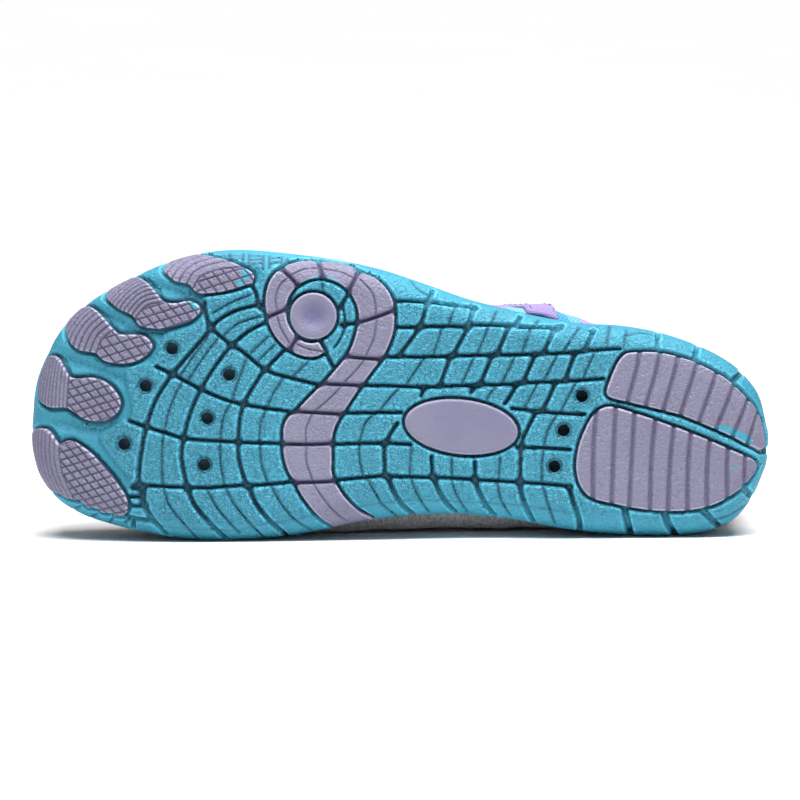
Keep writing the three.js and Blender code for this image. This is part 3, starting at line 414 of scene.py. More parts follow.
# %% Outlines of the heel pads, the oval plate and the button
HEEL_PADS = {
    "outer": [
        (56, 12.5), (55.3, 16), (54, 20), (52.5, 23.5), (50.5, 25.8), (48, 26.6), (44, 27.1), (40, 27.3),
        (36, 27), (32, 26.3), (28, 25.4), (24, 23.9), (20, 22.2), (16, 20.3), (12, 17.3), (8.5, 14.3),
        (5.5, 11.6), (3.5, 8.5), (2, 5), (1, 1), (0.7, -2), (2.2, -3.6), (4, -2.9), (8, -1.5), (12, 0.2),
        (18, 2.4), (24, 4.5), (30, 6.4), (36, 7.6), (42, 8.6), (48, 9.6), (54.5, 10.8),
    ],
    "inner": [
        (64.6, -12), (64, -6), (62.5, -1), (60.5, 3.5), (58.5, 6), (56, 7.4), (53.5, 7.6), (50, 7), (45, 5.8),
        (40, 4.6), (35, 3.1), (30, 1.8), (25, 0.2), (20, -1.4), (15, -3.2), (10, -4.9), (6, -6.2), (4, -7.2),
        (3, -9), (3.2, -10.5), (5, -13.5), (7.5, -16.5), (11, -19.5), (16, -22.6), (21, -24.5), (26, -25.7),
        (32, -26.3), (38, -26.4), (44, -26), (50, -25.2), (56, -24.3), (60, -22.8), (62.5, -20), (64, -16.5),
    ],
}
# The troughs between a pad's ribs, from its outer to its inner long side
PAD_TROUGHS = {
    "outer": [
        [(45.6, 28.5), (46.5, 20), (48.9, 8.5)], [(38.6, 28.8), (40, 19), (42.8, 7)],
        [(32.2, 28), (34, 18), (36.7, 6)], [(25.4, 26.5), (28, 16), (30.8, 5)],
        [(18.6, 23.5), (21.5, 13), (24.4, 3)], [(12.4, 19.5), (15.5, 10), (18.4, 1.5)],
        [(7.2, 15), (9.5, 8), (12.6, -0.5)], [(3.7, 10.5), (5.4, 4), (7.2, -2.6)],
    ],
    "inner": [
        [(59, 8), (59.1, -8), (58, -26)], [(52.6, 9), (52.2, -8), (51.6, -27)],
        [(46, 7.5), (45.9, -10), (45.6, -28)], [(38.8, 6), (39.2, -10), (38.4, -28)],
        [(32.3, 4), (32.8, -10), (32.4, -28)], [(26.4, 2.5), (26.7, -10), (25.8, -27)],
        [(19.8, 0.5), (20.2, -10), (19.2, -26)], [(13.4, -2), (13.5, -10), (12.4, -23)],
        [(7.4, -4), (7.4, -10), (7, -18)],
    ],
}
OVAL = {"centre": (104.3, -2.7), "half": (19.2, 9.3), "turn": math.radians(2.5)}
BUTTON = {"centre": (157, 31.3), "radius": 7.9}


def ellipse(centre, half, turn, count=72):
    angle = np.arange(count) / count * 2 * math.pi
    x, y = half[0] * np.cos(angle), half[1] * np.sin(angle)
    turned = np.column_stack([x * math.cos(turn) - y * math.sin(turn), x * math.sin(turn) + y * math.cos(turn)])
    return turned + centre


pad_outlines = {side: lay_flat(curve(points, closed=True)) for side, points in HEEL_PADS.items()}
oval_outline = lay_flat(ellipse(**OVAL))
button_outline = lay_flat(ellipse(BUTTON["centre"], (BUTTON["radius"],) * 2, 0))
print("troughs in the pads:", {side: len(paths) for side, paths in PAD_TROUGHS.items()})

# %% Outline of the ring and the band that sweeps from it across the waist of the ball
RING_OUTSIDE = [
    (152.3, 19.4), (155, 17.7), (158.5, 17.4), (162, 18.2), (165.5, 20), (168.5, 22.5), (171, 26), (172.8, 30.5),
    (173.6, 35.5), (173.1, 40.5), (171.2, 44.5), (168, 47.5), (163.5, 49.5), (157.5, 50.3), (150, 50.1),
    (145, 49), (141, 47.2), (137, 45.8), (133.4, 43), (130.8, 39), (129.7, 34.5), (129.5, 29), (130.4, 24.4),
    (132.5, 19.2), (135.5, 14.6), (138.6, 9.8), (141.6, 4.8), (144.6, -0.6), (147, -5.5), (147.8, -11),
    (147.3, -17.5), (147, -21.5), (145.2, -25.2), (142.6, -28.8), (139.5, -31.8), (136, -34.4), (131.5, -36.3),
]
RING_INSIDE = [
    (154.6, 22.6), (157, 22), (160, 22.5), (163, 24.7), (165.4, 28.2), (166.3, 32), (166, 36.4), (163.9, 40.2),
    (160.6, 42.9), (156.8, 44.3), (152.6, 44.2), (149, 43), (145.9, 40.8), (143.4, 37.6), (141.9, 34),
    (141.6, 30), (142.2, 26), (143.2, 22), (144.7, 18.7), (148.2, 13.6), (151.8, 9), (156, 4.2), (160.2, -0.8),
    (163, -3.5), (164.4, -7), (164.2, -12), (163.6, -17), (161.8, -21.8), (159.2, -25.4), (157.4, -28.6),
    (154.4, -32.4), (150.6, -36.4), (147.4, -38.6), (143.5, -40.4),
]
# Grooves between the lavender blocks
BLOCK_GROOVES = [
    [(164.9, 17.5), (163.3, 21), (161.2, 24.6)], [(175.5, 28.6), (170, 31), (164, 34.3)],
    [(170.5, 48), (165.5, 43.6), (161, 39.4)], [(157, 52), (155.4, 46.5), (153.6, 41.5)],
    [(141.6, 50.5), (143.6, 45.2), (146.4, 38.4)], [(127.6, 36.2), (135, 32.7), (143.4, 29.4)],
    [(129, 18.5), (138, 18.2), (148, 18.4)], [(134, 9), (145, 8.8), (157, 8.3)],
    [(142, -1.2), (153, -1.3), (166, -1.7)], [(145, -11), (155, -12.2), (167, -12.8)],
    [(142, -23.5), (152, -24.8), (163, -25.7)],
]
# The thin line in the middle of each lavender block
BLOCK_LINES = [
    [(154.5, 19.6), (158, 20), (161, 21)], [(165.5, 23), (167.8, 26.4), (169, 29.6)],
    [(169.6, 32.6), (170.2, 37), (168.9, 41), (167, 43)], [(164.4, 45.2), (161, 47), (157, 47.6)],
    [(153.6, 47.4), (149, 46.9), (145.4, 45.6)], [(141, 43.8), (137.6, 40.4), (136.2, 36), (136, 34)],
    [(135.6, 30), (136, 25), (138, 19.8)], [(139, 17), (141.5, 13.6), (144.6, 10)],
    [(146.4, 7.4), (150, 3.2), (153.4, 0)], [(155.3, -2.6), (156.8, -7), (156.6, -11)],
    [(156.2, -13.4), (156, -18), (153.8, -23.4)], [(152.8, -25.8), (149.6, -30), (145.4, -34.2), (141.5, -37)],
]
band_corners = np.vstack([curve(RING_OUTSIDE), curve(RING_INSIDE[::-1])])
band_outline = lay_flat(band_corners)
pocket_outlines = [*toe_outlines, *pad_outlines.values(), oval_outline, button_outline, band_outline]
print("pockets:", len(pocket_outlines))

# %% [markdown]
# ## The main grooves
# The teal tread is a net of blocks for grip and flex: grooves run lengthwise and fan out at the ball, and others cross
# them. The crossings on the inner side run on over the rounded edge, which lets the arch bend.

# %% Lengthwise grooves
LENGTHWISE = [
    [(214, -30.1), (200, -29.7), (190, -29.3), (180, -28), (170, -26.9), (160, -25.2)],
    [(147.6, -23.8), (140, -22.7), (130, -21.2), (120, -20.8), (110, -20.3), (100, -20.2), (80, -19.9), (66, -20.2)],
    [(217, -8.5), (211.5, -10), (203, -12), (197, -13.2), (185, -13.2), (165, -12.6)],
    [(147, -11.6), (140, -10.8), (130, -10), (121, -9.8)], [(85, -8.3), (78, -7.9), (67, -7.8)],
    [(209, 10.5), (203.5, 8.3), (196, 5), (192.5, 3.5), (185, 1), (180, 0), (172, -0.9), (163, -1.5)],
    [(146, -0.9), (135, 0), (125, 0.8)], [(87.6, 4.8), (75, 4.3), (63, 4.5)],
    [(191.6, 24.8), (184, 19.5), (180, 17.5), (172, 12), (164, 10), (151, 7.8)],
    [(140, 9), (130, 9.5), (117, 10), (108, 11), (100, 11.8), (90, 12.8), (80, 14.2), (70, 15.2), (57.5, 17)],
    [(133, 19.1), (120, 20), (110, 20.9), (100, 22), (90, 22.8), (80, 23.8), (70, 24.9), (60, 26.6), (52.5, 27.6)],
    [(129.5, 29.3), (122, 30), (113, 30.9), (105, 31.3), (102, 32.2), (90.5, 33)], [(87.3, 32.6), (73, 33.4)],
    [(130, 38.3), (119, 39), (110, 38.5), (102, 38.2)],
]
# Grooves across the foot, from one lengthwise groove to the next
CROSSWISE = [
    [(212, -30), (212.5, -25), (212, -18), (211, -10), (208.5, -1), (204.5, 6.5), (203.5, 8.3)],
    [(203.5, 8.3), (198.5, 15), (192.5, 23), (191.6, 24.8)],
    [(191.6, 24.8), (188, 28.4), (182.6, 31.6), (176.6, 33.4), (174.6, 32.8)],
    [(178.4, 40), (176.8, 37.3), (176, 34.6), (174.6, 32.4)], [(194.2, 33.5), (193.4, 29), (191.8, 25.4)],
    [(195.5, -30), (198.3, -20), (198, -13), (196.5, -5), (193.5, 3.5), (189, 12), (184, 19.5)],
    [(184, 19.5), (181, 22.4), (178, 25), (172.6, 28.2)],
    [(175.5, -28), (178.8, -19), (179.3, -13.3), (179.5, -8), (178.5, -0.3), (174.5, 8), (172, 12), (166, 19)],
    [(126, -3), (128, -6.5), (129.5, -9.8)], [(79.5, 4), (81, 0.5), (83, -4.5), (83.6, -8), (83.6, -14), (83.2, -20)],
    [(130, -10), (129.6, -15), (129, -21)], [(113.6, -13.4), (113.2, -17), (112.6, -20.3)],
    [(98.9, -14.4), (98.7, -17), (98.6, -20)], [(117.5, 9.8), (118.5, 6.8)], [(100, 11.8), (101.8, 9.2)],
    [(86.5, 13.2), (88, 10), (90.2, 6.2)], [(73.5, 14.6), (75.5, 9), (77.5, 4.5)], [(109.5, 20.8), (112.5, 10.6)],
    [(95.5, 22.2), (99, 12)], [(81, 23.6), (84.6, 13.8)], [(67.5, 25), (70.4, 15.4)], [(120.4, 30), (127, 20)],
    [(104.2, 31.2), (108.8, 21.2)], [(90.5, 32.6), (94, 22.8)], [(75, 33), (78.4, 24.2)],
    [(61.8, 33.2), (63, 30), (64.6, 25.8)],
    [(117, 43), (118.3, 39), (120.5, 30.4)], [(102.6, 38.4), (104.4, 31.5)], [(86.8, 36.4), (88.3, 33.2)],
    [(72.5, 34.4), (74.4, 32.6)], [(148.2, 34.9), (145.6, 39.6)], [(147.2, 28.9), (142, 30)],
    [(153.4, 21.8), (151.6, 18.6), (149.4, 15)],
]
# On the inner side and at the heel the grooves run over the rounded edge: width, then the path
OVER_THE_EDGE = [
    (1.8, [(210.6, -30.4), (210, -36), (207, -41), (203, -45)]),
    (1.7, [(195.5, -30.2), (193, -35), (188.5, -40), (183, -45)]),
    (1.7, [(174.8, -27.8), (172, -33.5), (167, -39), (161, -43.8)]),
    (1.8, [(127.9, -21.6), (125.5, -26.5), (122, -31), (118, -34)]),
    (1.8, [(112.3, -20.8), (110, -25.5), (107, -29.5), (104.5, -31.7)]),
    (1.8, [(98.5, -20.4), (96.5, -25), (93.5, -29.5), (91.5, -31.5)]),
    (1.8, [(83.5, -20.2), (82, -25.5), (79.5, -30.5), (78, -32.8)]),
    (1.8, [(66.5, -20.6), (64.5, -26), (62.5, -31), (61.8, -34.5)]),
    (2.4, [(47, -27), (46.3, -30), (44.8, -34.6)]), (2.4, [(33.5, -27.2), (32, -31), (29.3, -34.4)]),
    (2.4, [(20.5, -25.6), (17.4, -28.4), (14.5, -30.8)]), (2.4, [(7.3, -16.8), (4.4, -19.2)]),
    (1.3, [(39.9, 28.4), (39.9, 33.2)]), (1.6, [(26.9, 26.2), (26.2, 30)]), (2.2, [(12.8, 20), (9, 24)]),
    (1.6, [(2.2, -4), (-0.2, -4.2)]),
]
# The narrow curved groove inside the ring
INNER_ARC = (0.8, [(147.4, 35.4), (146.6, 32.8), (146.2, 30), (146.4, 27), (147.4, 24), (149.2, 21)])
# Short cuts beside the big toe's lug
LADDER_BARS = [
    [(214.4, -31.2), (211.4, -31.4)], [(214.6, -34), (210.9, -34)], [(214.2, -37.2), (209.6, -37.2)],
    [(214.6, -41.4), (207.6, -42)], [(213.3, -41.8), (213, -45)],
]
print("grooves:", len(LENGTHWISE), "along,", len(CROSSWISE), "across and", len(OVER_THE_EDGE), "over the edge")

# %% [markdown]
# ## The thin lines
# Most blocks carry one thin line, as deep as a fingernail, that lets the block bend. They follow the main grooves.

# %% Thin lines of the blocks
THIN_LINES = [
    [(205, -11.5), (205, -20), (204, -29)], [(185.5, -13.6), (185, -20), (183, -28.2)],
    [(172, -13.2), (171, -20), (168.4, -26.4)], [(138.5, -11.2), (138, -16), (136.5, -21.6)],
    [(120.8, -10.4), (120.7, -20.4)], [(106.7, -14), (106.3, -20)], [(90.5, -12), (90.5, -19.8)],
    [(76, -8.5), (76.2, -14), (75.8, -19.6)], [(199.5, 6.6), (202, 1), (204, -6), (204.6, -11.6)],
    [(182.5, 0.2), (185, -5), (185.5, -13)], [(170.6, -1.2), (172.4, -7), (172.2, -12.4)],
    [(134, -0.4), (137, -4), (138.3, -10.1)], [(72, 4), (75, -2), (76, -7.6)],
    [(188.6, 21.6), (193, 15), (197.8, 6.6)], [(191.2, 23.4), (195.6, 16.4), (200.6, 8)],
    [(178.5, 15.8), (181, 7), (182.4, 1)], [(165.6, 9.8), (168.4, 4.6), (170.4, -0.4)],
    [(126, 9.3), (129.4, 5), (132.5, 0.8)], [(93.5, 12), (96.3, 7.5)], [(79.5, 13.8), (83.5, 5)],
    [(66.5, 15), (71, 5)], [(157.5, 15.8), (162.5, 10.4)], [(118.5, 19.6), (124, 10.2)], [(101.5, 21.4), (105, 12)],
    [(87.8, 22.4), (91.5, 13.2)], [(73.5, 23.9), (77.5, 14.8)], [(60.8, 26), (64.2, 16.8)],
    [(113, 30.4), (115.5, 21)], [(97.5, 31.8), (100.5, 22.5)], [(83, 32.4), (85.5, 24)], [(66.5, 34), (71.5, 25.3)],
    [(56.5, 35.2), (57, 27.8)], [(109, 38), (111, 31.4)], [(95, 37.5), (96.5, 33)], [(80.5, 35.5), (82, 33.4)],
    [(191.1, 29.7), (185.7, 33.5), (178.2, 37.2)], [(186.8, 22.5), (182.2, 26.9), (175, 29.9)],
    [(177.1, 17.4), (171.6, 23.4)], [(174.4, 15), (169.4, 20.6)], [(154.7, 42.4), (154.4, 40.1)],
    [(16.6, -28.4), (11.4, -26.4), (6.4, -22.6)],
    [(124.8, 45.6), (121.6, 42.6), (118.4, 41)], [(50.4, 34), (51.4, 27.8)],
    [(51, 32), (46, 33.4), (40.6, 32.8)], [(214.8, -41.8), (216, -43.4)], [(220.2, -42), (221.2, -43.6)],
    [(225.8, -41), (227.6, -42.4)], [(231.6, -38.8), (234, -40.2)],
]
# The raised lattice on the outer side by the little toe: the lines between its bars
LATTICE = [
    [(189.6, 49.8), (186, 50), (182.6, 50.2)], [(180, 50.3), (175.5, 50.5)], [(180, 48.9), (175.4, 49.4)],
    [(180, 47.2), (175.4, 48.2)], [(186.8, 48.9), (182.4, 49.2)], [(173.2, 49.8), (169, 50.6)],
    [(173.2, 48), (169, 48.9)], [(167.4, 49.2), (164, 50)], [(182.3, 50.8), (182.1, 47.6)],
    [(180.2, 50.8), (180.2, 46.4)], [(175.4, 50.8), (175.2, 45.8)], [(173.3, 50.8), (173.1, 46.2)],
    [(169.1, 50.6), (168.9, 48.4)], [(167.3, 50.4), (167.2, 49.4)], [(186.9, 50.4), (186.8, 48.9)],
]
# Thin lines that run over the inner edge
THIN_OVER_THE_EDGE = [
    [(203.5, -30.4), (201.5, -36), (197, -41), (192, -46)], [(188.8, -30), (185, -36), (179, -42)],
    [(182.5, -29), (179.5, -34), (174, -40), (169, -44.5)], [(167.3, -27), (163.5, -33), (158.5, -38), (152.5, -41.5)],
    [(135, -22.3), (132, -27), (129, -31), (124.5, -34.3)], [(120, -21.4), (118, -26), (114.5, -31)],
    [(106.3, -20.7), (104.5, -25.5), (101.5, -30)], [(91, -20.5), (89.5, -26), (87, -30)],
    [(75.5, -20.5), (73.5, -26), (71.5, -31)],
]
# The parting line that the mould leaves round the inner edge
PARTING_LINE = [(205, -43.5), (180, -43.3), (170, -40.5), (160, -38.3), (125, -29.5), (100, -28), (80, -28),
                (65, -29.5)]
PARTING_DEPTH, PARTING_REACH = 0.22, 0.6
# Centres of the drain holes
DRAINS = [(204.1, 16.9), (212.2, 3.7), (184.1, 9.4), (218.1, -16.5), (190.4, -5.8), (190.4, -21.6), (64.2, 10.5),
          (69.6, -1.5), (71.9, -13.9)]
print("thin lines:", len(THIN_LINES) + len(LATTICE) + len(THIN_OVER_THE_EDGE), "and drain holes:", len(DRAINS))

# %% [markdown]
# ## The moulded cup
# The cup is one moulding: tread, rounded edge, wall, rim and footbed, with nine drain holes. Its skin is the wrapped
# grid. The inside is filled from the rim's own points, so that the whole is one closed body.

# %% Sizes of the cup's grooves, hollows and drains
STEP = 0.54  # the grid's step, as fine as the number of triangles allows
GROOVE_WIDTH, MOAT = 1.5, 1.15  # the moat is the gap round each lug
GROOVE_DEPTH, LIP_RADIUS, WALL_RUN = 2.0, 0.6, 0.35
CORNER, POCKET_CORNER = 1.5, 0.8  # how widely fields blend where grooves cross, and where they meet a moat
THIN_WIDTH, THIN_DEPTH = 0.8, 0.75
WALL_ON_GRID, OVER_EDGE_CLIMB = 3.5, 3.5  # how far up the wall the grid and the grooves run
DRAIN_RADIUS, DRAIN_SINK = 2.05, 0.8
FAR = 9.0  # the field's value where no groove is near

# The smooth hollows between the toes, behind which the grained tread begins
VALLEY = [(213.6, -31), (216, -27.5), (219.5, -24), (223, -19.8), (225.6, -16.8), (226, -14.2), (222.6, -11.6),
          (219, -9.4), (216.6, -8.8), (216.2, -4), (217.4, 1), (218.8, 5), (218.4, 8.4), (214, 10.2), (210.6, 10.6),
          (209.2, 14), (208, 18.6), (206.4, 21), (203, 22), (199, 23.6), (195, 25.8), (193.6, 29), (194.4, 33),
          (193, 35.2), (186, 37.2), (177.6, 40), (175.8, 44), (177, 47), (184, 46.6), (196, 48), (208, 48.5),
          (228, 43), (250, 20), (257, 0), (256, -14), (246, -20), (232, -28), (221, -35)]
VALLEY_DEPTH, VALLEY_RUN = 1.0, 1.2
# The fold along the middle of each hollow
VALLEY_FOLDS = [
    [(249, -10), (238, -11.4), (228, -12.4), (222, -10)], [(247, 13.6), (238, 10.6), (228, 8), (220, 5)],
    [(236, 30.5), (226, 26.4), (218, 22.4), (208, 21.8)], [(218, 42), (211, 38), (204, 36.4), (196, 34.6)],
]
FOLD_WIDTH, FOLD_DEPTH = 3.2, 1.1
print("hollow:", len(VALLEY), "points, with", len(VALLEY_FOLDS), "folds")

# %% Fields of the cup's tread
def grid_end(x):
    """Where the grid ends, as a distance from the flat line."""
    return rounding(x) * math.pi / 2 + WALL_ON_GRID


def climbing(path, length):
    """A path laid flat and carried on past its end, over the edge and up the wall."""
    flat = lay_flat(curve(path))
    way = flat[-1] - flat[-2]
    return np.vstack([flat, flat[-1] + way / np.linalg.norm(way) * length])


cup_grid = flat_grid((-26, -76), (276, 80), STEP)
flat_points = cup_grid.reshape(-1, 2)
edge_foot, _, edge_distance = from_flat_line(flat_points)
move_onto(cup_grid, edge_distance - grid_end(edge_foot[:, 0]), [0.0], STEP)
drain_centres = np.array(DRAINS)
drain_field = np.linalg.norm(flat_points[:, None] - drain_centres, axis=2).min(1)
move_onto(cup_grid, drain_field, [DRAIN_RADIUS], STEP)

tread = np.full(len(flat_points), FAR)
main_paths = [(GROOVE_WIDTH, lay_flat(curve(path))) for path in LENGTHWISE + CROSSWISE + LADDER_BARS]
main_paths += [(width, climbing(path, OVER_EDGE_CLIMB)) for width, path in OVER_THE_EDGE]
main_paths.append((INNER_ARC[0], lay_flat(curve(INNER_ARC[1]))))
for width, path in main_paths:
    near, distance, _ = distance_to(flat_points, path)
    tread[near] = blend(tread[near], distance - width / 2, CORNER)
for outline in pocket_outlines:
    near, distance, _ = distance_to(flat_points, outline, closed=True)
    tread[near] = blend(tread[near], -distance - MOAT, POCKET_CORNER)
moved = move_onto(cup_grid, tread, [LIP_RADIUS, 0.0, -WALL_RUN], STEP)
print("grid points:", len(flat_points), "of which moved onto a lip:", int(moved.sum()))

# %% Lay the thin lines, on rows of points moved to their middles
thin = np.zeros(len(flat_points))
free = ~moved.ravel() & (tread > 0.3)
thin_paths = [lay_flat(curve(path)) for path in THIN_LINES + LATTICE]
thin_paths += [climbing(path, OVER_EDGE_CLIMB) for path in THIN_OVER_THE_EDGE]
for path in thin_paths:
    near, distance, foot = distance_to(flat_points, path, reach=1.5)
    centre = near[(distance < STEP / 2) & free[near]]
    flat_points[centre] = foot[(distance < STEP / 2) & free[near]]
    distance = np.where((distance < STEP / 2) & free[near], 0, distance)
    thin[near] = np.minimum(thin[near], -THIN_DEPTH * np.clip(1 - distance / (THIN_WIDTH / 2 + STEP / 2), 0, 1))
near, distance, _ = distance_to(flat_points, lay_flat(curve(PARTING_LINE)), reach=1.5)
parting = np.zeros(len(flat_points))
parting[near] = PARTING_DEPTH * np.clip(1 - distance / PARTING_REACH, 0, 1)
thin = np.minimum(thin, -parting)
print("points on a thin line:", int((thin < 0).sum()))

# %% Sink the hollows, the grooves and the drains
hollow = np.zeros(len(flat_points))
near, distance, _ = distance_to(flat_points, lay_flat(curve(VALLEY, closed=True)), closed=True, reach=2)
hollow[near] = -VALLEY_DEPTH * ramp(-0.2, VALLEY_RUN, distance)
for path in VALLEY_FOLDS:
    near, distance, _ = distance_to(flat_points, lay_flat(curve(path)))
    fold = -FOLD_DEPTH * np.clip(1 - distance / FOLD_WIDTH, 0, 1)
    hollow[near] += fold * (hollow[near] / -VALLEY_DEPTH)
hollow *= 1 - 0.85 * ramp(4, 12, edge_distance)  # the hollows run out over the rounded edge
drained = np.linalg.norm(flat_points[:, None] - drain_centres, axis=2).min(1)
sunk = -DRAIN_SINK * (1 - ramp(DRAIN_RADIUS + 0.2, DRAIN_RADIUS + 0.9, drained))
grooves = lip(tread, LIP_RADIUS, WALL_RUN, GROOVE_DEPTH)
lift = np.minimum.reduce([grooves, hollow + np.maximum(grooves, -LIP_RADIUS), thin + hollow, sunk])
print("deepest point:", round(float(lift.min()), 2), "mm")

# %% Say where shade and highlights are painted on the rubber, and where it is smooth
# Painted shade lies darkest along the foot of a groove's walls, and lighter in a wide groove and over the rounded
# edge. The thin lines, the parting line and the ring round each drain get painted shade too. Moulded edges get a
# painted highlight, which a recess under 0 says.
wide_place = 0.4 * ramp(0.55, 1.3, -tread)
over_edge = 0.55 * ramp(-3, 5, edge_distance)
groove_shade = ramp(LIP_RADIUS, 1.3, -grooves) * (1 - wide_place) * (1 - over_edge)
line_shade = np.maximum(np.clip(-thin / THIN_DEPTH, 0, 1), 2.2 * parting)
drain_shade = ramp(DRAIN_RADIUS + 0.95, DRAIN_RADIUS + 0.55, drained)
recess = np.maximum.reduce([groove_shade, 0.85 * line_shade, 0.9 * drain_shade])
edge_highlight = ramp(0.05, 0.3, tread) * (1 - ramp(0.45, 0.9, tread)) * (1 - np.clip(-hollow / VALLEY_DEPTH, 0, 1))
recess = np.where(recess < 0.05, -edge_highlight, recess)
on_lattice = ramp(45, 47, flat_points[:, 1]) * ramp(162, 165, flat_points[:, 0]) * ramp(193, 190, flat_points[:, 0])
smooth_skin = np.maximum.reduce([-hollow / VALLEY_DEPTH, on_lattice, 0.7 * ramp(0, 5, edge_distance)])
print("dark points:", int((recess > 0.5).sum()), "and pale ones:", int((recess < -0.5).sum()))

# %% Cut the grid to the wall and the drains, and bend it into the skin
edge_foot, _, edge_distance = from_flat_line(flat_points)
over_end = edge_distance - grid_end(edge_foot[:, 0])
faces = grid_faces(tread.reshape(cup_grid.shape[:2]))
kept = (over_end[faces].mean(1) < 0) & (drained[faces].mean(1) > DRAIN_RADIUS - 0.02)
faces, flat_points, lift, over_end, drained, recess, smooth_skin = used_only(
    faces[kept], flat_points, lift, over_end, drained, recess, smooth_skin)
rim_edges = open_edges(faces)
border = np.unique(rim_edges)
at_rim = border[over_end[border] > -2]
foot, way, _ = from_flat_line(flat_points[at_rim])
flat_points[at_rim] -= way * over_end[at_rim][:, None]
at_hole = border[drained[border] < DRAIN_RADIUS + 2]
nearest_drain = np.linalg.norm(flat_points[at_hole][:, None] - drain_centres, axis=2).argmin(1)
spoke = flat_points[at_hole] - drain_centres[nearest_drain]
flat_points[at_hole] = drain_centres[nearest_drain] + spoke * (
    DRAIN_RADIUS / np.linalg.norm(spoke, axis=1, keepdims=True))
skin = on_skin(flat_points, lift * (1 - ramp(-1.6, -0.4, over_end)))
print("skin:", len(skin), "points,", len(faces), "faces")

# %% Ways to close a body
def joined(rows, edges):
    """Quads, as triangles, between rows of points that all lie over the same edges."""
    quads = []
    for lower, upper in zip(rows, rows[1:]):
        a, b = lower[edges[:, 0]], lower[edges[:, 1]]
        c, d = upper[edges[:, 1]], upper[edges[:, 0]]
        quads += [np.column_stack([b, a, d]), np.column_stack([b, d, c])]
    return np.concatenate(quads)


def filled(loop, edges, spacing):
    """Triangles that fill an outline in the plan, facing up, with inner points on a grid."""
    inner = flat_grid(loop.min(0), loop.max(0), spacing).reshape(-1, 2)
    inside = np.zeros(len(inner), bool)
    a, b = loop[edges[:, 0]], loop[edges[:, 1]]
    rise = np.where(np.abs(b[:, 1] - a[:, 1]) < 1e-12, 1e-12, b[:, 1] - a[:, 1])
    for start in range(0, len(inner), 512):
        block = inner[start:start + 512]
        crossing = (a[:, 1] > block[:, 1:2]) != (b[:, 1] > block[:, 1:2])
        where = a[:, 0] + (block[:, 1:2] - a[:, 1]) / rise * (b[:, 0] - a[:, 0])
        clear = np.linalg.norm(block[:, None] - loop[::3], axis=2).min(1) > spacing * 0.6
        inside[start:start + 512] = ((crossing & (block[:, :1] < where)).sum(1) % 2 == 1) & clear
    points = np.vstack([loop, inner[inside]])
    made = delaunay_2d_cdt(points.tolist(), edges.tolist(), [], 1, 1e-6)
    return np.array([tuple(point) for point in made[0]]), np.array(made[2])


def weld(piece, distance=2e-6):
    """Joins points that fall together and drops the faces that collapse."""
    shape = bmesh.new()
    shape.from_mesh(piece.data)
    bmesh.ops.remove_doubles(shape, verts=shape.verts, dist=distance)
    bmesh.ops.recalc_face_normals(shape, faces=shape.faces)
    open_count = sum(1 for edge in shape.edges if not edge.is_manifold)
    shape.to_mesh(piece.data)
    shape.free()
    print(piece.name, len(piece.data.polygons), "faces,", open_count, "open edges")


# %% Close the cup
WALL_ROWS = 3  # the rest of the wall is plain, so it rises straight in a few rows
RIM_SECTION = [(0.7, 0.5), (1.7, 0.4), (RIM_WALL, -0.4)]  # inwards from the wall's face, and up
FOOTBED_SPACING = 6.0

numbers = np.zeros(len(skin), int)
numbers[border] = np.arange(len(border))
edges = numbers[rim_edges]
is_rim = (over_end[border] > -2)[:, None]
foot, way, _ = from_flat_line(flat_points[border])
wall_share = -WALL_LEAN * (1 - WALL_ON_GRID / wall_climb(foot[:, 0]))[:, None]
rows, all_points = [border], [skin]
for k in range(1, WALL_ROWS + 1):
    share = k / WALL_ROWS
    climbed = skin[border] + np.column_stack([way * wall_share * share, np.zeros(len(border))])
    climbed[:, 2] = mix(skin[border, 2], rim_height(foot[:, 0]), share)
    all_points.append(np.where(is_rim, climbed, skin[border]))
for inset, rise in RIM_SECTION:
    moved_in = climbed - np.column_stack([way * inset, np.full(len(border), -rise)])
    all_points.append(np.where(is_rim, moved_in, skin[border]))
floor_row = all_points[-1].copy()
floor_row[:, 2] = footbed_height(floor_row[:, 0])
all_points.append(floor_row)
rows += [len(skin) + k * len(border) + np.arange(len(border)) for k in range(len(all_points) - 1)]
floor_points, floor_faces = filled(floor_row[:, :2], edges, FOOTBED_SPACING)
centres = floor_points[floor_faces].mean(1)
over_hole = np.linalg.norm(centres[:, None] - drain_centres, axis=2).min(1) < DRAIN_RADIUS * 0.98
floor_faces = floor_faces[~over_hole] + sum(len(part) for part in all_points)
all_points.append(np.column_stack([floor_points, footbed_height(floor_points[:, 0])]))
cup_points = np.vstack(all_points)
cup_faces = np.concatenate([faces, joined(rows, edges), floor_faces])
rest = len(cup_points) - len(recess)
cup_recess = np.concatenate([recess, np.zeros(rest)])
cup_smooth = np.concatenate([smooth_skin, np.full(rest, 0.6)])
outsole = make_piece("moulded_outsole", cup_points, cup_faces, "sole_teal", ["outsole"],
                     recess=cup_recess, smooth=cup_smooth)
weld(outsole)

# %% [markdown]
# ## The lavender lugs
# Each lug is a solid of its own in its pocket. Its face starts as the same flat grid, clipped to its outline, and gets
# ridges, a hatch or troughs; a wall and a bottom close it. The bottom stops just over the floor of the pocket.

# %% Build a lug from its outline
LUG_STEP = 0.3
SEAT_DEPTH = 1.9  # how far a lug reaches down into its pocket
PAINT_EDGE = 0.25
# The pale edge of a lug is a painted highlight.
RIM_HIGHLIGHT = (0.25, 0.75)  # a lug's edge is pale up to here, and its face begins there


def painted(points, spots):
    """How much of the sole's teal lies on each point: 1 inside a spot, 0 outside."""
    amount = np.zeros(len(points))
    for spot in spots:
        near, distance, _ = distance_to(points, lay_flat(curve(spot, closed=True)), closed=True, reach=1)
        amount[near] = np.maximum(amount[near], ramp(-PAINT_EDGE, PAINT_EDGE, distance))
    return amount


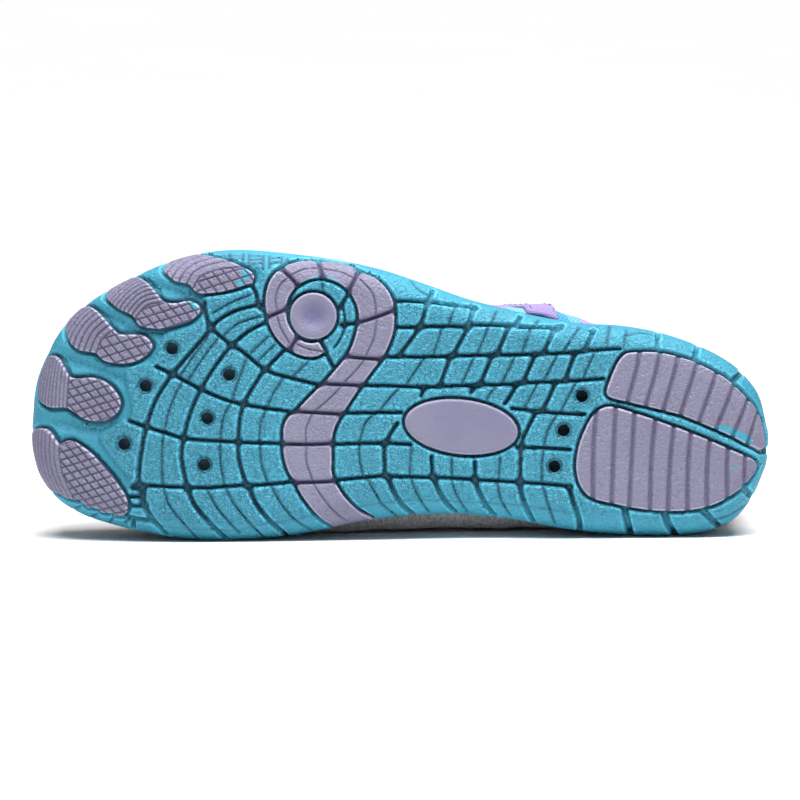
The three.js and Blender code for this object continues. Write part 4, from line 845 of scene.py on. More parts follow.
def lug(name, outline, stands_for, relief, spots=(), step=LUG_STEP):
    """A closed lug: for points and their distance from the edge, relief gives the height of the face and how much of
    it is cut away, from 0 to 1, which is painted darker as shade. The lug's edge gets a painted highlight."""
    grid = flat_grid(outline.min(0) - 1, outline.max(0) + 1, step)
    points = grid.reshape(-1, 2)
    within = np.full(len(points), -FAR)
    near, distance, _ = distance_to(points, outline, closed=True, reach=1)
    within[near] = distance
    move_onto(grid, within, [0.0], step)
    faces = grid_faces(within.reshape(grid.shape[:2]))
    faces = faces[within[faces].mean(1) > 0]
    faces, points, within = used_only(faces, points, within)
    edges = open_edges(faces)
    border = np.unique(edges)
    _, _, foot = distance_to(points[border], outline, closed=True, reach=9)
    points[border] = foot
    within = np.maximum(within, 0)
    within[border] = 0
    height, cut = relief(points, within)
    numbers = np.zeros(len(points), int)
    numbers[border] = np.arange(len(border))
    flat, fill_faces = filled(points[border], numbers[edges], 3.0)
    parts = [on_skin(points, height), on_skin(points[border], -SEAT_DEPTH), on_skin(flat, -SEAT_DEPTH)]
    rows = [border, len(points) + np.arange(len(border))]
    faces = np.concatenate([faces, joined(rows, numbers[edges]), fill_faces + len(points) + len(border)])
    hidden = len(border) + len(flat)
    # The cut share is painted shade, the edge a painted highlight, and the hidden seat is painted fully dark as shade.
    edge_highlight = 1 - ramp(*RIM_HIGHLIGHT, within)
    recess = np.concatenate([np.where(cut < 0.05, -edge_highlight, cut), np.ones(hidden)])
    teal = np.concatenate([painted(points, spots), np.zeros(hidden)])
    piece = make_piece(name, np.vstack(parts), faces, "lug_lavender", stands_for, recess=recess, teal=teal)
    weld(piece)
    return piece


# %% [markdown]
# ## Ridges and diamonds
# The toes' lugs grip in two ways: fine ridges on the tip, where the foot pushes off, and a diamond hatch behind. The
# ridges could each be drawn, but they all run beside the border between the two, so their distance from it gives them.

# %% The toe lugs
RIDGE_WIDTH, RIDGE_DEPTH = 0.75, 0.65
HATCH_WAYS = (46, -21)  # the two families of grooves, in degrees from the shoe's length
HATCH_WIDTH, HATCH_DEPTH = 0.75, 0.65
# For each toe: the pitch of its ridges, how strongly they are cut, and the pitch of its hatch
TOES = [(1.75, 0.55, 2.55), (1.35, 0.6, 2.6), (2.1, 1, 3.0), (1.6, 1, 2.75), (2.7, 1, 3.0)]
LUG_LIP, BUTTON_LIP, PLATE_LIP, PAD_LIP = 0.7, 0.9, 1.2, 1.0
# Where the teal rubber has run a little onto the lugs
TEAL_ON_TOES = {
    3: [[(200.7, 32.8), (198.5, 33.4), (196.4, 33), (194.8, 31.2), (197.6, 30.8), (199.2, 32)]],
    4: [[(184.2, 41.3), (183, 41.9), (181.8, 42.4), (180.9, 41.4), (180.1, 40.3), (181.6, 39.9), (183.1, 39.5)],
        [(181.9, 46.2), (180.4, 45.8), (179.6, 43.3), (179.9, 41.8), (180.7, 42.3), (182.2, 43.6)]],
}


def sawtooth(value, pitch):
    """Distance to the nearest of a row of lines that lie a pitch apart."""
    return np.abs((value / pitch + 0.5) % 1 - 0.5) * pitch


def toe_relief(border, ridge_pitch, ridge_strength, hatch_pitch):
    path = lay_flat(curve(border))

    def relief(points, within):
        _, distance, foot = distance_to(points, path, reach=60)
        on_tip = points[:, 0] > foot[:, 0]
        ridges = ridge_strength * np.clip(1 - sawtooth(distance, ridge_pitch) / (RIDGE_WIDTH / 2), 0, 1)
        hatch = np.clip(1 - distance / (RIDGE_WIDTH / 2), 0, 1)
        for angle in HATCH_WAYS:
            turn = math.radians(angle)
            line = sawtooth(points @ (math.sin(turn), -math.cos(turn)), hatch_pitch)
            hatch = np.maximum(hatch, np.clip(1 - line / (HATCH_WIDTH / 2), 0, 1))
        cut = np.where(on_tip, ridges, hatch)
        depth = np.where(on_tip, RIDGE_DEPTH, HATCH_DEPTH)
        # The second value paints shade into the ridges and the hatch.
        return lip(within, LUG_LIP, 1, LUG_LIP) - depth * cut, 0.8 * cut

    return relief


for number, outline in enumerate(toe_outlines):
    name = f"toe_lug_{number + 1}"
    relief = toe_relief(LUG_BORDERS[number], *TOES[number])
    lug("moulded_" + name, outline, [name], relief, TEAL_ON_TOES.get(number, ()))

# %% [markdown]
# ## The ring and its band
# One lavender piece rings the ball's turning point and sweeps on across the foot. Grooves cut it into blocks, each
# with a thin line. It is one lug with the same fields as the cup, so that its grooves get the same moulded lips.

# %% The ring with its band
BLOCK_GROOVE_WIDTH, BLOCK_GROOVE_DEPTH, BLOCK_LINE_DEPTH = 1.4, 1.5, 0.6
BLOCK_CORNER, BLOCK_LINE_ENDS, BLOCK_LINE_REACH = 1.8, 1.6, 0.5
BAND_STEP = 0.32
TEAL_ON_RING = [[(162.6, 41.6), (159.9, 43.9), (155.7, 45.3), (151.2, 44.8), (145.6, 41.2), (145.2, 40.4), (149, 43),
                 (156, 44), (161.5, 42)]]


def lengthened(path, by):
    """A path carried on straight at both ends."""
    first, last = path[0] - path[1], path[-1] - path[-2]
    return np.vstack([path[0] + first / np.linalg.norm(first) * by, path, path[-1] + last / np.linalg.norm(last) * by])


block_grooves = [lay_flat(curve(path)) for path in BLOCK_GROOVES]
block_lines = [lengthened(lay_flat(curve(path)), BLOCK_LINE_ENDS) for path in BLOCK_LINES]


def band_relief(points, within):
    field = within.copy()
    for path in block_grooves:
        near, distance, _ = distance_to(points, path)
        field[near] = blend(field[near], distance - BLOCK_GROOVE_WIDTH / 2, BLOCK_CORNER)
    height = lip(field, LUG_LIP, WALL_RUN, BLOCK_GROOVE_DEPTH)
    # The grooves between the blocks, and their thin lines below, are painted darker as shade.
    cut = ramp(0.1, -WALL_RUN, field)
    for path in block_lines:
        near, distance, _ = distance_to(points, path, reach=1.5)
        line = np.clip(1 - distance / BLOCK_LINE_REACH, 0, 1)
        height[near] = np.minimum(height[near], -BLOCK_LINE_DEPTH * line)
        cut[near] = np.maximum(cut[near], 0.6 * line)
    return height, cut


lug("moulded_ring_and_band", band_outline, ["ring_and_band"], band_relief, TEAL_ON_RING, BAND_STEP)

# %% [markdown]
# ## The button and the plate
# The button in the ring is dished, to hold the shoe like a suction cup on wet rock. The oval plate under the arch is
# plain. Both are lugs whose face depends on one distance alone: from the middle, or from the edge.

# %% The button and the oval plate
DISH_RADIUS, DISH_DEPTH = 6.2, 1.3


def button_relief(points, within):
    from_centre = np.linalg.norm(points - button_outline.mean(0), axis=1) / DISH_RADIUS
    dish = 1 - ramp(0.15, 1, from_centre)
    # The dish is painted darker towards its middle: painted shade.
    return lip(within, BUTTON_LIP, 1, BUTTON_LIP) - DISH_DEPTH * dish, 0.5 * dish


def plate_relief(points, within):
    return lip(within, PLATE_LIP, 1, PLATE_LIP), 0 * within


lug("moulded_button", button_outline, ["button"], button_relief)
lug("moulded_oval_plate", oval_outline, ["oval_plate"], plate_relief)

# %% [markdown]
# ## The heel pads
# Two pads take the heel's weight. Soft troughs part their ribs, so that water can run out; an array of cutters would
# do for straight ones, but these fan out a little, so each trough is its own path.

# %% The heel pads
TROUGH_WIDTH, TROUGH_DEPTH = 2.3, 0.95
TEAL_ON_PADS = {
    "outer": [[(18.6, 3.6), (15, 4), (11, 2.8), (7.4, 1.4), (5.2, -0.6), (7.6, -1.8), (12, 0), (18, 2.2)]],
    "inner": [[(11.8, -10.6), (9.6, -9.2), (9.2, -8.6), (11.4, -9.6), (12.2, -10.4)]],
}


def pad_relief(troughs):
    paths = [lay_flat(curve(path)) for path in troughs]

    def relief(points, within):
        cut = np.zeros(len(points))
        for path in paths:
            near, distance, _ = distance_to(points, path)
            cut[near] = np.maximum(cut[near], 1 - ramp(0.1, 1, distance / (TROUGH_WIDTH / 2)))
        height = lip(within, PAD_LIP, 1, PAD_LIP) - TROUGH_DEPTH * cut
        # The troughs are painted darker as shade.
        return np.maximum(height, 0.1 - SEAT_DEPTH), 0.42 * cut

    return relief


for side, outline in pad_outlines.items():
    name = f"heel_pad_{side}"
    lug("moulded_" + name, outline, [name], pad_relief(PAD_TROUGHS[side]), TEAL_ON_PADS[side])

# %% [markdown]
# ## The knitted upper
# A water shoe's upper is one stretch knit, pulled over a last and glued inside the cup. It could be sculpted, but a
# surface worked out from a few cross-sections stays fair. The same sections shape the collar and the strap, each at
# its own distance from the face of the knit.

# %% The surface that the last gives
SECTIONS = np.array([  # from the heel: crest as a share of the instep, offset, fullness, outer and inner swelling
    (0, 1.14, -3, 0.95, -0.3, -0.4), (30, 1.16, 0, 0.95, -0.3, -0.5), (58, 1.15, 0.5, 0.85, 0, -0.3),
    (70, 1.14, 0.5, 0.8, 0.7, 0.15), (78, 1.13, 0.5, 0.8, 1, 0.4), (90, 1.12, 0, 0.8, 0.42, 0.85),
    (101, 1.1, -0.5, 0.8, 0.05, 1), (120, 1.05, -1.5, 0.82, -0.25, 1), (137, 1, -3, 0.85, -0.3, 0.7),
    (150, 0.91, -4, 0.87, -0.3, 0.25), (165, 0.82, -5, 0.86, -0.3, -0.3), (180, 0.75, -5, 0.84, -0.3, -0.5),
    (200, 0.68, -5, 0.8, -0.3, -0.5), (220, 0.635, -6, 0.76, -0.25, -0.35), (234, 0.6, -8, 0.74, -0.2, -0.3),
    (244, 0.56, -8.5, 0.72, -0.2, -0.2), (250, 0.52, -8.5, 0.7, -0.2, -0.2),
])
CREST, OFFSET, FULLNESS, OUTER, INNER = range(1, 6)
INSTEP_HEIGHT, UPPER_WALL, CLEARANCE = 78.0, 1.6, 0.3
BULGE_HEIGHT, OUTER_BULGE, INNER_BULGE = 6.0, 3.8, 5.0  # how high over the rim, and how far out
HEEL_LEAN, TOE_LEAN = 10.0, 5.0
LAST_ROW = len(OUTLINE) - 1
row_number = np.arange(len(outline_rows)) / STEPS_PER_ROW
side_edges = {True: outline_rows[:, [0, 1]], False: outline_rows[:, [0, 2]]}
side_normals = {True: ring_normal[:len(outline_rows)], False: ring_normal[len(outline_rows):][::-1]}


def section(column, along):
    """One column of the sections, between its rows."""
    at = SECTIONS[:, 0]
    after = np.clip(np.searchsorted(at, along), 1, len(at) - 1)
    share = ramp(0, 1, (along - at[after - 1]) / (at[after] - at[after - 1]))
    return mix(SECTIONS[after - 1, column], SECTIONS[after, column], share)


def between_rows(table, t):
    return np.stack([np.interp(t, row_number, table[:, k]) for k in range(2)], -1)


def last_point(outer, t, level, inset=0.0):
    """A point of the upper on one side: t counts the outline's rows, and level is 0 at the footbed, 1 at the rim,
    2 at the widest place and 3 on the crest. inset is how far inside the face of the knit it lies."""
    t, level = np.broadcast_arrays(np.asarray(t, float), level)
    edge, normal = between_rows(side_edges[outer], t), between_rows(side_normals[outer], t)
    along = edge[..., 0]
    margin = RIM_WALL + WALL_LEAN + CLEARANCE + inset
    foot = edge - normal * margin
    rim, floor = rim_height(along), footbed_height(along) + CLEARANCE
    bulge = (OUTER_BULGE if outer else INNER_BULGE) * section(OUTER if outer else INNER, along)
    swell = np.clip(level - 1, 0, 1)
    wide = foot + normal * ((bulge + RIM_WALL + WALL_LEAN) * swell * (2 - swell))[..., None]
    widest = rim + BULGE_HEIGHT * (1 - 0.7 * ramp(225, SOLE_LENGTH, along))
    crest = np.maximum(INSTEP_HEIGHT * section(CREST, along), widest + 2) - inset
    power = mix(1.2, 0.92, ramp(120, 175, along))
    angle = math.pi / 2 * np.clip(level - 2, 0, 1)
    lean = HEEL_LEAN * (1 - ramp(0, 45, along)) - TOE_LEAN * ramp(222, SOLE_LENGTH, along)
    middle = np.stack([np.clip(along, margin, SOLE_LENGTH - margin) + lean, section(OFFSET, along)], -1)
    dome = mix(middle, wide, (np.cos(angle) ** section(FULLNESS, along))[..., None])
    height = np.where(level <= 1, mix(floor, rim, np.clip(level, 0, 1)), mix(rim, widest, swell))
    height = np.where(level > 2, mix(widest, crest, np.sin(angle) ** power), height)
    return np.concatenate([np.where((level > 2)[..., None], dome, wide), height[..., None]], -1)


# %% [markdown]
# ## The opening
# The foot goes in through an opening that is high at the heel and at the instep and low at the ankle. A line in the
# side view gives its edge, and the knit, the collar and the strap all end at that line, each at its own distance.

# %% The opening
COLLAR_SIDE, COLLAR_BACK, COLLAR_FRONT, BAND_HEIGHT = 58.0, 73.0, 79.0, 11.0
COLLAR = smooth([  # along, share of the rise at the back, share of the rise at the front
    (-12, 1.05, 0), (6, 1, 0), (18, 0.86, 0), (34, 0.42, 0), (52, 0.1, 0), (70, 0, 0), (92, 0, 0.08),
    (110, 0, 0.34), (124, 0, 0.72), (133, 0, 1.1), (139, 0, 1.6), (142, 0, 2.4)], 8)


def opening_height(x, drop):
    """Height of the line that runs drop below the collar's edge."""
    rise = (COLLAR_BACK - COLLAR_SIDE) * COLLAR[:, 1] + (COLLAR_FRONT - COLLAR_SIDE) * COLLAR[:, 2]
    line = np.column_stack([COLLAR[:, 0], COLLAR_SIDE + rise])
    way = np.gradient(line, axis=0)
    way /= np.linalg.norm(way, axis=1, keepdims=True)
    line += drop * np.column_stack([way[:, 1], -way[:, 0]])
    return np.interp(x, line[:, 0], line[:, 1], right=1e3)


def level_where(outer, t, inset, is_under, low=2.0):
    """The level at which the side reaches a line: is_under tells for points whether they lie below it."""
    low, high = np.full(np.shape(t), low), np.full(np.shape(t), 3.0)
    for _ in range(24):
        middle = (low + high) / 2
        under = is_under(last_point(outer, t, middle, inset))
        low, high = np.where(under, middle, low), np.where(under, high, middle)
    return low


def throat(drop, inset):
    """The row number at which the line meets the crest, at the front of the opening."""
    t = np.linspace(10, 17, 701)
    crest = last_point(True, t, 3.0, inset)
    return t[np.flatnonzero(crest[:, 2] > opening_height(crest[:, 0], drop))[-1]]


print("the opening ends", round(float(np.interp(throat(0, 0), row_number, outline_rows[:, 0])), 1), "mm from the heel")

# %% [markdown]
# ## Soft folds
# Empty knit slackens where a foot would fill it: across the vamp, where the foot bends, and over the arch. Sculpting
# would do, but two waves that fade out at their ends are easier to keep soft.

# %% Sheets and folds
OPEN_COLUMNS, CLOSED_COLUMNS, DOME_ROWS = 112, 88, 46  # columns beside the opening and before it, rows of the dome
LOW_LEVELS = np.array([0, 0.6, 1, 1.15, 1.35, 1.6, 1.8, 2])


def folds(points):
    """Soft folds across the vamp, where the foot bends, and a little slack over the arch."""
    x, y, z = points[..., 0], points[..., 1], points[..., 2]
    flex = 0.6 * np.sin((x + 0.35 * y) / 2.6) * ramp(148, 158, x) * (1 - ramp(180, 196, x)) * ramp(26, 40, z)
    slack = 0.4 * np.sin((x - 0.6 * z) / 3.1) * ramp(84, 96, x) * (1 - ramp(122, 136, x)) * ramp(24, 36, z)
    return flex + slack


def knit_sheet(inset):
    """A grid of points that lies inset inside the face of the knit: rows go up, columns round the shoe."""
    end = throat(BAND_HEIGHT + CLEARANCE, 0)
    t = np.concatenate([np.linspace(0, end, OPEN_COLUMNS), np.linspace(end, LAST_ROW, CLOSED_COLUMNS)[1:]])
    sides = []
    for outer in (True, False):
        top = level_where(outer, t, 0, lambda p: p[..., 2] < opening_height(p[..., 0], BAND_HEIGHT + CLEARANCE))
        top[OPEN_COLUMNS - 1:] = 3.0
        share = np.arange(1, DOME_ROWS + 1)[:, None] / DOME_ROWS
        levels = np.vstack([LOW_LEVELS[:, None] + 0 * t, 2 + (top - 2) * share])
        points = last_point(outer, t, levels, inset)
        sides.append(points if outer else points[:, ::-1])
    return np.concatenate(sides, 1)


def outward(sheet, closed=True):
    """Unit normals of a grid of points whose columns run round the shoe."""
    if closed:
        round_shoe = np.roll(sheet, -1, 1) - np.roll(sheet, 1, 1)
    else:
        round_shoe = np.gradient(sheet, axis=1)
    normal = np.cross(np.gradient(sheet, axis=0), round_shoe)
    return normal / np.maximum(np.linalg.norm(normal, axis=-1, keepdims=True), 1e-9)


def above_floor(points, gap=0.2):
    """Cloth that would reach through the floor lies on it."""
    low = np.maximum(gap * MM - to_room(points)[..., 2], 0) / MM
    return points + low[..., None] * SHOE_AXES[:, 2]


def sheet_faces(rows, columns, closed):
    """Quads of a grid of points; a closed one joins its last column to its first."""
    number = np.arange(rows * columns).reshape(rows, columns)
    a, b = (number, np.roll(number, -1, 1)) if closed else (number[:, :-1], number[:, 1:])
    return np.stack([a[:-1], a[1:], b[1:], b[:-1]], -1).reshape(-1, 4)


def places(points):
    """Where each point lies on the shoe, for the materials: along it, across it and up."""
    flat = points.reshape(-1, 3)
    return {"along": flat[:, 0], "across": flat[:, 1], "up": flat[:, 2]}


along_crest = np.column_stack([np.arange(84, 196), np.zeros(112), np.full(112, 60)])
print("deepest fold along the crest:", round(float(folds(along_crest).min()), 2), "mm")

# %% Build the knit
knit_face, knit_back = knit_sheet(0), knit_sheet(UPPER_WALL)
out = outward(knit_face)
is_open = np.arange(knit_face.shape[1]) < OPEN_COLUMNS
is_open |= is_open[::-1]
print("the normals face out:", out[20, 60].round(2), out[20, -60].round(2))
for sheet in (knit_face, knit_back):
    sheet += out * folds(knit_face)[..., None]
    sheet[-1, ~is_open] = ((sheet[-1] + sheet[-1, ::-1]) / 2)[~is_open]
knit_face, knit_back = above_floor(knit_face), above_floor(knit_back, 0.2 + UPPER_WALL)
rows, columns = knit_face.shape[:2]
size = rows * columns
face_quads = sheet_faces(rows, columns, True)
here = np.arange(columns)
beside = np.roll(here, -1)
foot_quads = np.column_stack([beside, here, here + size, beside + size])
rim = is_open & np.roll(is_open, -1)
rim[OPEN_COLUMNS - 1] = rim[-OPEN_COLUMNS] = False
here, beside = (np.stack([here, beside])[:, rim]) + size - columns
top_quads = np.column_stack([here, beside, beside + size, here + size])
knit_upper = make_piece(
    "knit_upper", np.concatenate([knit_face.reshape(-1, 3), knit_back.reshape(-1, 3)]),
    np.concatenate([face_quads, face_quads[:, ::-1] + size, foot_quads, top_quads]), "upper_mesh", ["upper"],
    inner_face=np.repeat([0, 1], size), **places(np.concatenate([knit_face, knit_back])))
weld(knit_upper, 1e-5)

# %% [markdown]
# ## The collar
# The opening is edged with a ribbed band that stretches over the heel. Its ribs could be bump, but they show along the
# edge of the band, so they are shaped: a rounded section swept round the opening, with a rib every two millimetres.

# %% Sweep the ribbed band round the opening
RIB_PITCH, RIB_HEIGHT, COLUMNS_PER_RIB = 2.0, 0.28, 6
BAND_SECTION = [  # how far below the edge, and how far inside the face of the knit
    (11, -0.15), (10.6, -0.45), (8.5, -0.55), (6, -0.6), (3.5, -0.6), (1.6, -0.5), (0.6, -0.2), (0.1, 0.3), (0, 0.8),
    (0.1, 1.3), (0.6, 1.8), (1.6, 2.05), (4, 2.1), (8, 2.1), (11, 2.0)]


def opening_loop(drop, inset, count=260):
    """A closed line round the opening: from the heel forward on the outer side and back on the inner side."""
    t = np.linspace(0, throat(drop, inset), count)
    sides = []
    for outer in (True, False):
        level = level_where(outer, t, inset, lambda p: p[..., 2] < opening_height(p[..., 0], drop))
        level[-1] = 3.0
        points = last_point(outer, t, level, inset)
        sides.append(points if outer else points[::-1])
    return np.vstack(sides)


def evenly(loop, count):
    """A closed line with its points spaced evenly."""
    closed = np.vstack([loop, loop[:1]])
    at = np.insert(np.cumsum(np.linalg.norm(np.diff(closed, axis=0), axis=1)), 0, 0)
    return np.column_stack([np.interp(np.arange(count) / count * at[-1], at, closed[:, k]) for k in range(3)]), at[-1]


_, opening_length = evenly(opening_loop(0, 0), 10)
ribs = round(opening_length / RIB_PITCH)
band = np.stack([evenly(opening_loop(drop, inset), ribs * COLUMNS_PER_RIB)[0] for drop, inset in BAND_SECTION])
out = outward(band)
rib = RIB_HEIGHT * np.cos(2 * math.pi * np.arange(band.shape[1]) / COLUMNS_PER_RIB)
ends = np.minimum(1, np.arange(len(band)) / 2) * np.minimum(1, (len(band) - 1 - np.arange(len(band))) / 2)
band += out * rib[None, :, None] * ends[:, None, None]
band = above_floor(band)
rows, columns = band.shape[:2]
here = np.arange(columns)
beside = np.roll(here, -1)
last = (rows - 1) * columns
under = np.column_stack([beside, here, here + last, beside + last])
groove = np.tile(0.5 - rib / RIB_HEIGHT / 2, rows)
collar = make_piece("knit_collar", band.reshape(-1, 3), np.concatenate([sheet_faces(rows, columns, True), under]),
                    "knit_lilac", ["collar_band"], recess=groove, **places(band))
weld(collar)
print("ribs round the opening:", ribs, "over", round(float(opening_length)), "mm")

# %% [markdown]
# ## The strap and its stitches
# A woven strap runs from the rim to the collar on the outer side. The photograph shows its foot, with dark stitches.
# The stitches are small beads of thread rather than painted dashes, so that they catch the light.

# %% Lay the strap on the knit
STRAP = {"along": 79, "foot": 22, "lean": 14, "width": 11, "thickness": 1, "top": 44}
STITCH_LENGTH, STITCH_WIDTH, STITCH_GAP, STITCH_MARGIN = 2.4, 0.75, 1.1, 1.5


def on_strap(u, v, inset):
    """A point over the outer side: u runs from 0 at the rim to 1 at the collar, v counts millimetres across."""
    u, v = np.broadcast_arrays(u, v)
    x = STRAP["along"] + STRAP["lean"] * u + v
    z = mix(STRAP["foot"], STRAP["top"], u)
    t = np.interp(x, outline_rows[:, 0], row_number)
    level = level_where(True, t, inset, lambda p: p[..., 2] < z, low=1.0)
    return last_point(True, t, level, inset)


STRAP_ROWS, STRAP_COLUMNS = 34, 23
u = np.linspace(0, 1, STRAP_ROWS)[:, None]
v = np.linspace(-0.5, 0.5, STRAP_COLUMNS)[None, :] * STRAP["width"]
edge = np.minimum(1, (0.5 - np.abs(v) / STRAP["width"]) * 18)
strap_top = on_strap(u, v, -CLEARANCE)
strap_foot = on_strap(u, v, -0.05)
out = outward(strap_top, closed=False)
strap_top = strap_top + out * (STRAP["thickness"] * (0.35 + 0.65 * np.sqrt(edge)))[..., None]
size = STRAP_ROWS * STRAP_COLUMNS
top_quads = sheet_faces(STRAP_ROWS, STRAP_COLUMNS, False)
number = np.arange(size).reshape(STRAP_ROWS, STRAP_COLUMNS)
loop = np.concatenate([number[0], number[1:, -1], number[-1, -2::-1], number[-2:0:-1, 0]])
side_quads = np.column_stack([np.roll(loop, -1), loop, loop + size, np.roll(loop, -1) + size])
strap = make_piece("woven_strap", np.concatenate([strap_top.reshape(-1, 3), strap_foot.reshape(-1, 3)]),
                   np.concatenate([top_quads, top_quads[:, ::-1] + size, side_quads]), "knit_lilac", ["saddle_strap"],
                   **places(np.concatenate([strap_top, strap_foot])))
weld(strap)

# %% Stitch it
strap_length = np.linalg.norm(np.diff(strap_top[:, STRAP_COLUMNS // 2], axis=0), axis=1).sum()
bead = bmesh.new()
bmesh.ops.create_icosphere(bead, subdivisions=2, radius=0.5)
bead_points = np.array([vertex.co[:] for vertex in bead.verts])
bead_faces = np.array([[vertex.index for vertex in face.verts] for face in bead.faces])
bead.free()
stitch_points, stitch_faces = [], []
pitch = (STITCH_LENGTH + STITCH_GAP) / strap_length
for side in (-1, 1):
    for start in np.arange(pitch / 2, 1 - pitch / 2, pitch):
        across = side * (STRAP["width"] / 2 - STITCH_MARGIN)
        ends = on_strap(np.array([start, start + 0.02]), across, -CLEARANCE - STRAP["thickness"] - 0.05)
        way = (ends[1] - ends[0]) / np.linalg.norm(ends[1] - ends[0])
        lifted = np.cross(way, (0, 0, 1))
        lifted *= np.sign(lifted[1]) / np.linalg.norm(lifted)
        shape = np.array([way * STITCH_LENGTH, lifted * STITCH_WIDTH * 0.7, np.cross(way, lifted) * STITCH_WIDTH])
        stitch_faces.append(bead_faces + len(stitch_points) * len(bead_points))
        stitch_points.append(bead_points @ shape + ends[0])
stitches = make_piece("thread_stitches", np.vstack(stitch_points), np.concatenate(stitch_faces), "knit_lilac")
print("stitches:", len(stitch_points))

# %% [markdown]
# ## The insole
# A loose foam sheet covers the footbed. It is cut a little smaller than the upper, so that it drops in, and its top
# edge is soft.

# %% Cut the insole
INSOLE_MARGIN, INSOLE_THICKNESS = 6.15, 4.0
# The section of the edge: how far in, and the height as a share of the thickness
EDGE_STEPS = [(0.0, 0.0), (0.0, 0.3), (0.0, 0.75), (0.3, 0.93), (1.0, 1.0), (3.0, 1.0), (7.0, 0.97), (12.0, 0.96)]


def insole_ring(inset, share):
    edge = ring[::4] - ring_normal[::4] * (INSOLE_MARGIN + inset)
    height = footbed_height(edge[:, 0]) + CLEARANCE + INSOLE_THICKNESS * share
    return np.column_stack([edge, height])


insole_rows = np.stack([insole_ring(inset, share) for inset, share in EDGE_STEPS])
rows, columns = insole_rows.shape[:2]
edges = np.column_stack([np.arange(columns), np.roll(np.arange(columns), -1)])
top, top_faces = filled(insole_rows[-1][:, :2], edges, FOOTBED_SPACING)
sole, sole_faces = filled(insole_rows[0][:, :2], edges, FOOTBED_SPACING)
top = np.column_stack([top, footbed_height(top[:, 0]) + CLEARANCE + INSOLE_THICKNESS * EDGE_STEPS[-1][1]])
sole = np.column_stack([sole, footbed_height(sole[:, 0]) + CLEARANCE])
wall = sheet_faces(rows, columns, True)
wall = np.concatenate([wall[:, [0, 1, 2]], wall[:, [0, 2, 3]]])
insole = make_piece(
    "foam_insole", np.concatenate([insole_rows.reshape(-1, 3), top, sole]),
    np.concatenate([wall, top_faces + rows * columns, sole_faces[:, ::-1] + rows * columns + len(top)]),
    "insole_foam", ["insole"])
weld(insole)

# %% [markdown]
# ## Materials
# The shoe is made of moulded rubber in two colours, knit, webbing, thread and foam. Each colour is a hex value as a
# colour picker gives it, turned to linear light by one function, and one function adds every node.

# %% Helpers for materials
PER_MM = 1000.0  # a texture scale of PER_MM / size draws features of that size in millimetres


def linear(hex_colour):
    """An sRGB hex colour as linear light."""
    channels = [int(hex_colour[k:k + 2], 16) / 255 for k in (1, 3, 5)]
    return (*[c / 12.92 if c <= 0.04045 else ((c + 0.055) / 1.055) ** 2.4 for c in channels], 1)


def add_node(tree, kind, sockets=None, out=0, **settings):
    """Adds a node. A socket gets a number, a colour, or another node's output to link. Gives back one output."""
    made = tree.nodes.new("ShaderNode" + kind)
    for key, value in settings.items():
        setattr(made, key, value)
    for key, value in (sockets or {}).items():
        if isinstance(value, bpy.types.NodeSocket):
            tree.links.new(value, made.inputs[key])
        else:
            made.inputs[key].default_value = value
    return made.outputs[out] if made.outputs else None


def new_material(name):
    material = bpy.data.materials.new(name)
    material.use_nodes = True
    material.node_tree.nodes.clear()
    return material, material.node_tree


def finish_surface(tree, sockets):
    add_node(tree, "OutputMaterial", {"Surface": add_node(tree, "BsdfPrincipled", sockets)})


def layered(tree, base, layers):
    """A base colour under layers, each a share and an sRGB hex colour."""
    colour = linear(base)
    for share, tone in layers:
        colour = add_node(tree, "Mix", {0: share, 6: colour, 7: linear(tone)}, 2, data_type="RGBA")
    return colour


def wear_the(pieces, material):
    for piece in pieces:
        piece.data.materials.clear()
        piece.data.materials.append(material)


print("teal as linear light:", [round(channel, 3) for channel in linear("#34899F")])

# %% [markdown]
# ## Moulded rubber
# Both rubbers are compression moulded. The mould's etched grain gives the blocks a fine crumpled skin. Painted
# highlights make the rounded edges paler, and painted shade darkens the grooves and the grain's creases. Rubber has an
# IOR of about 1.52.

# %% Mix the two rubbers
RUBBER_IOR = 1.52
# The creases of the grain lie about 1.5 mm apart. They are really a tenth of a millimetre deep: drawn deeper, to show.
GRAIN_MM, GRAIN_HEIGHT_MM = 1.5, 1.3
FINE_GRAIN_MM, MOTTLE_MM, SPECK_MM = 0.35, 26.0, 3.4
SPECK_COLOUR = "#1C2A33"


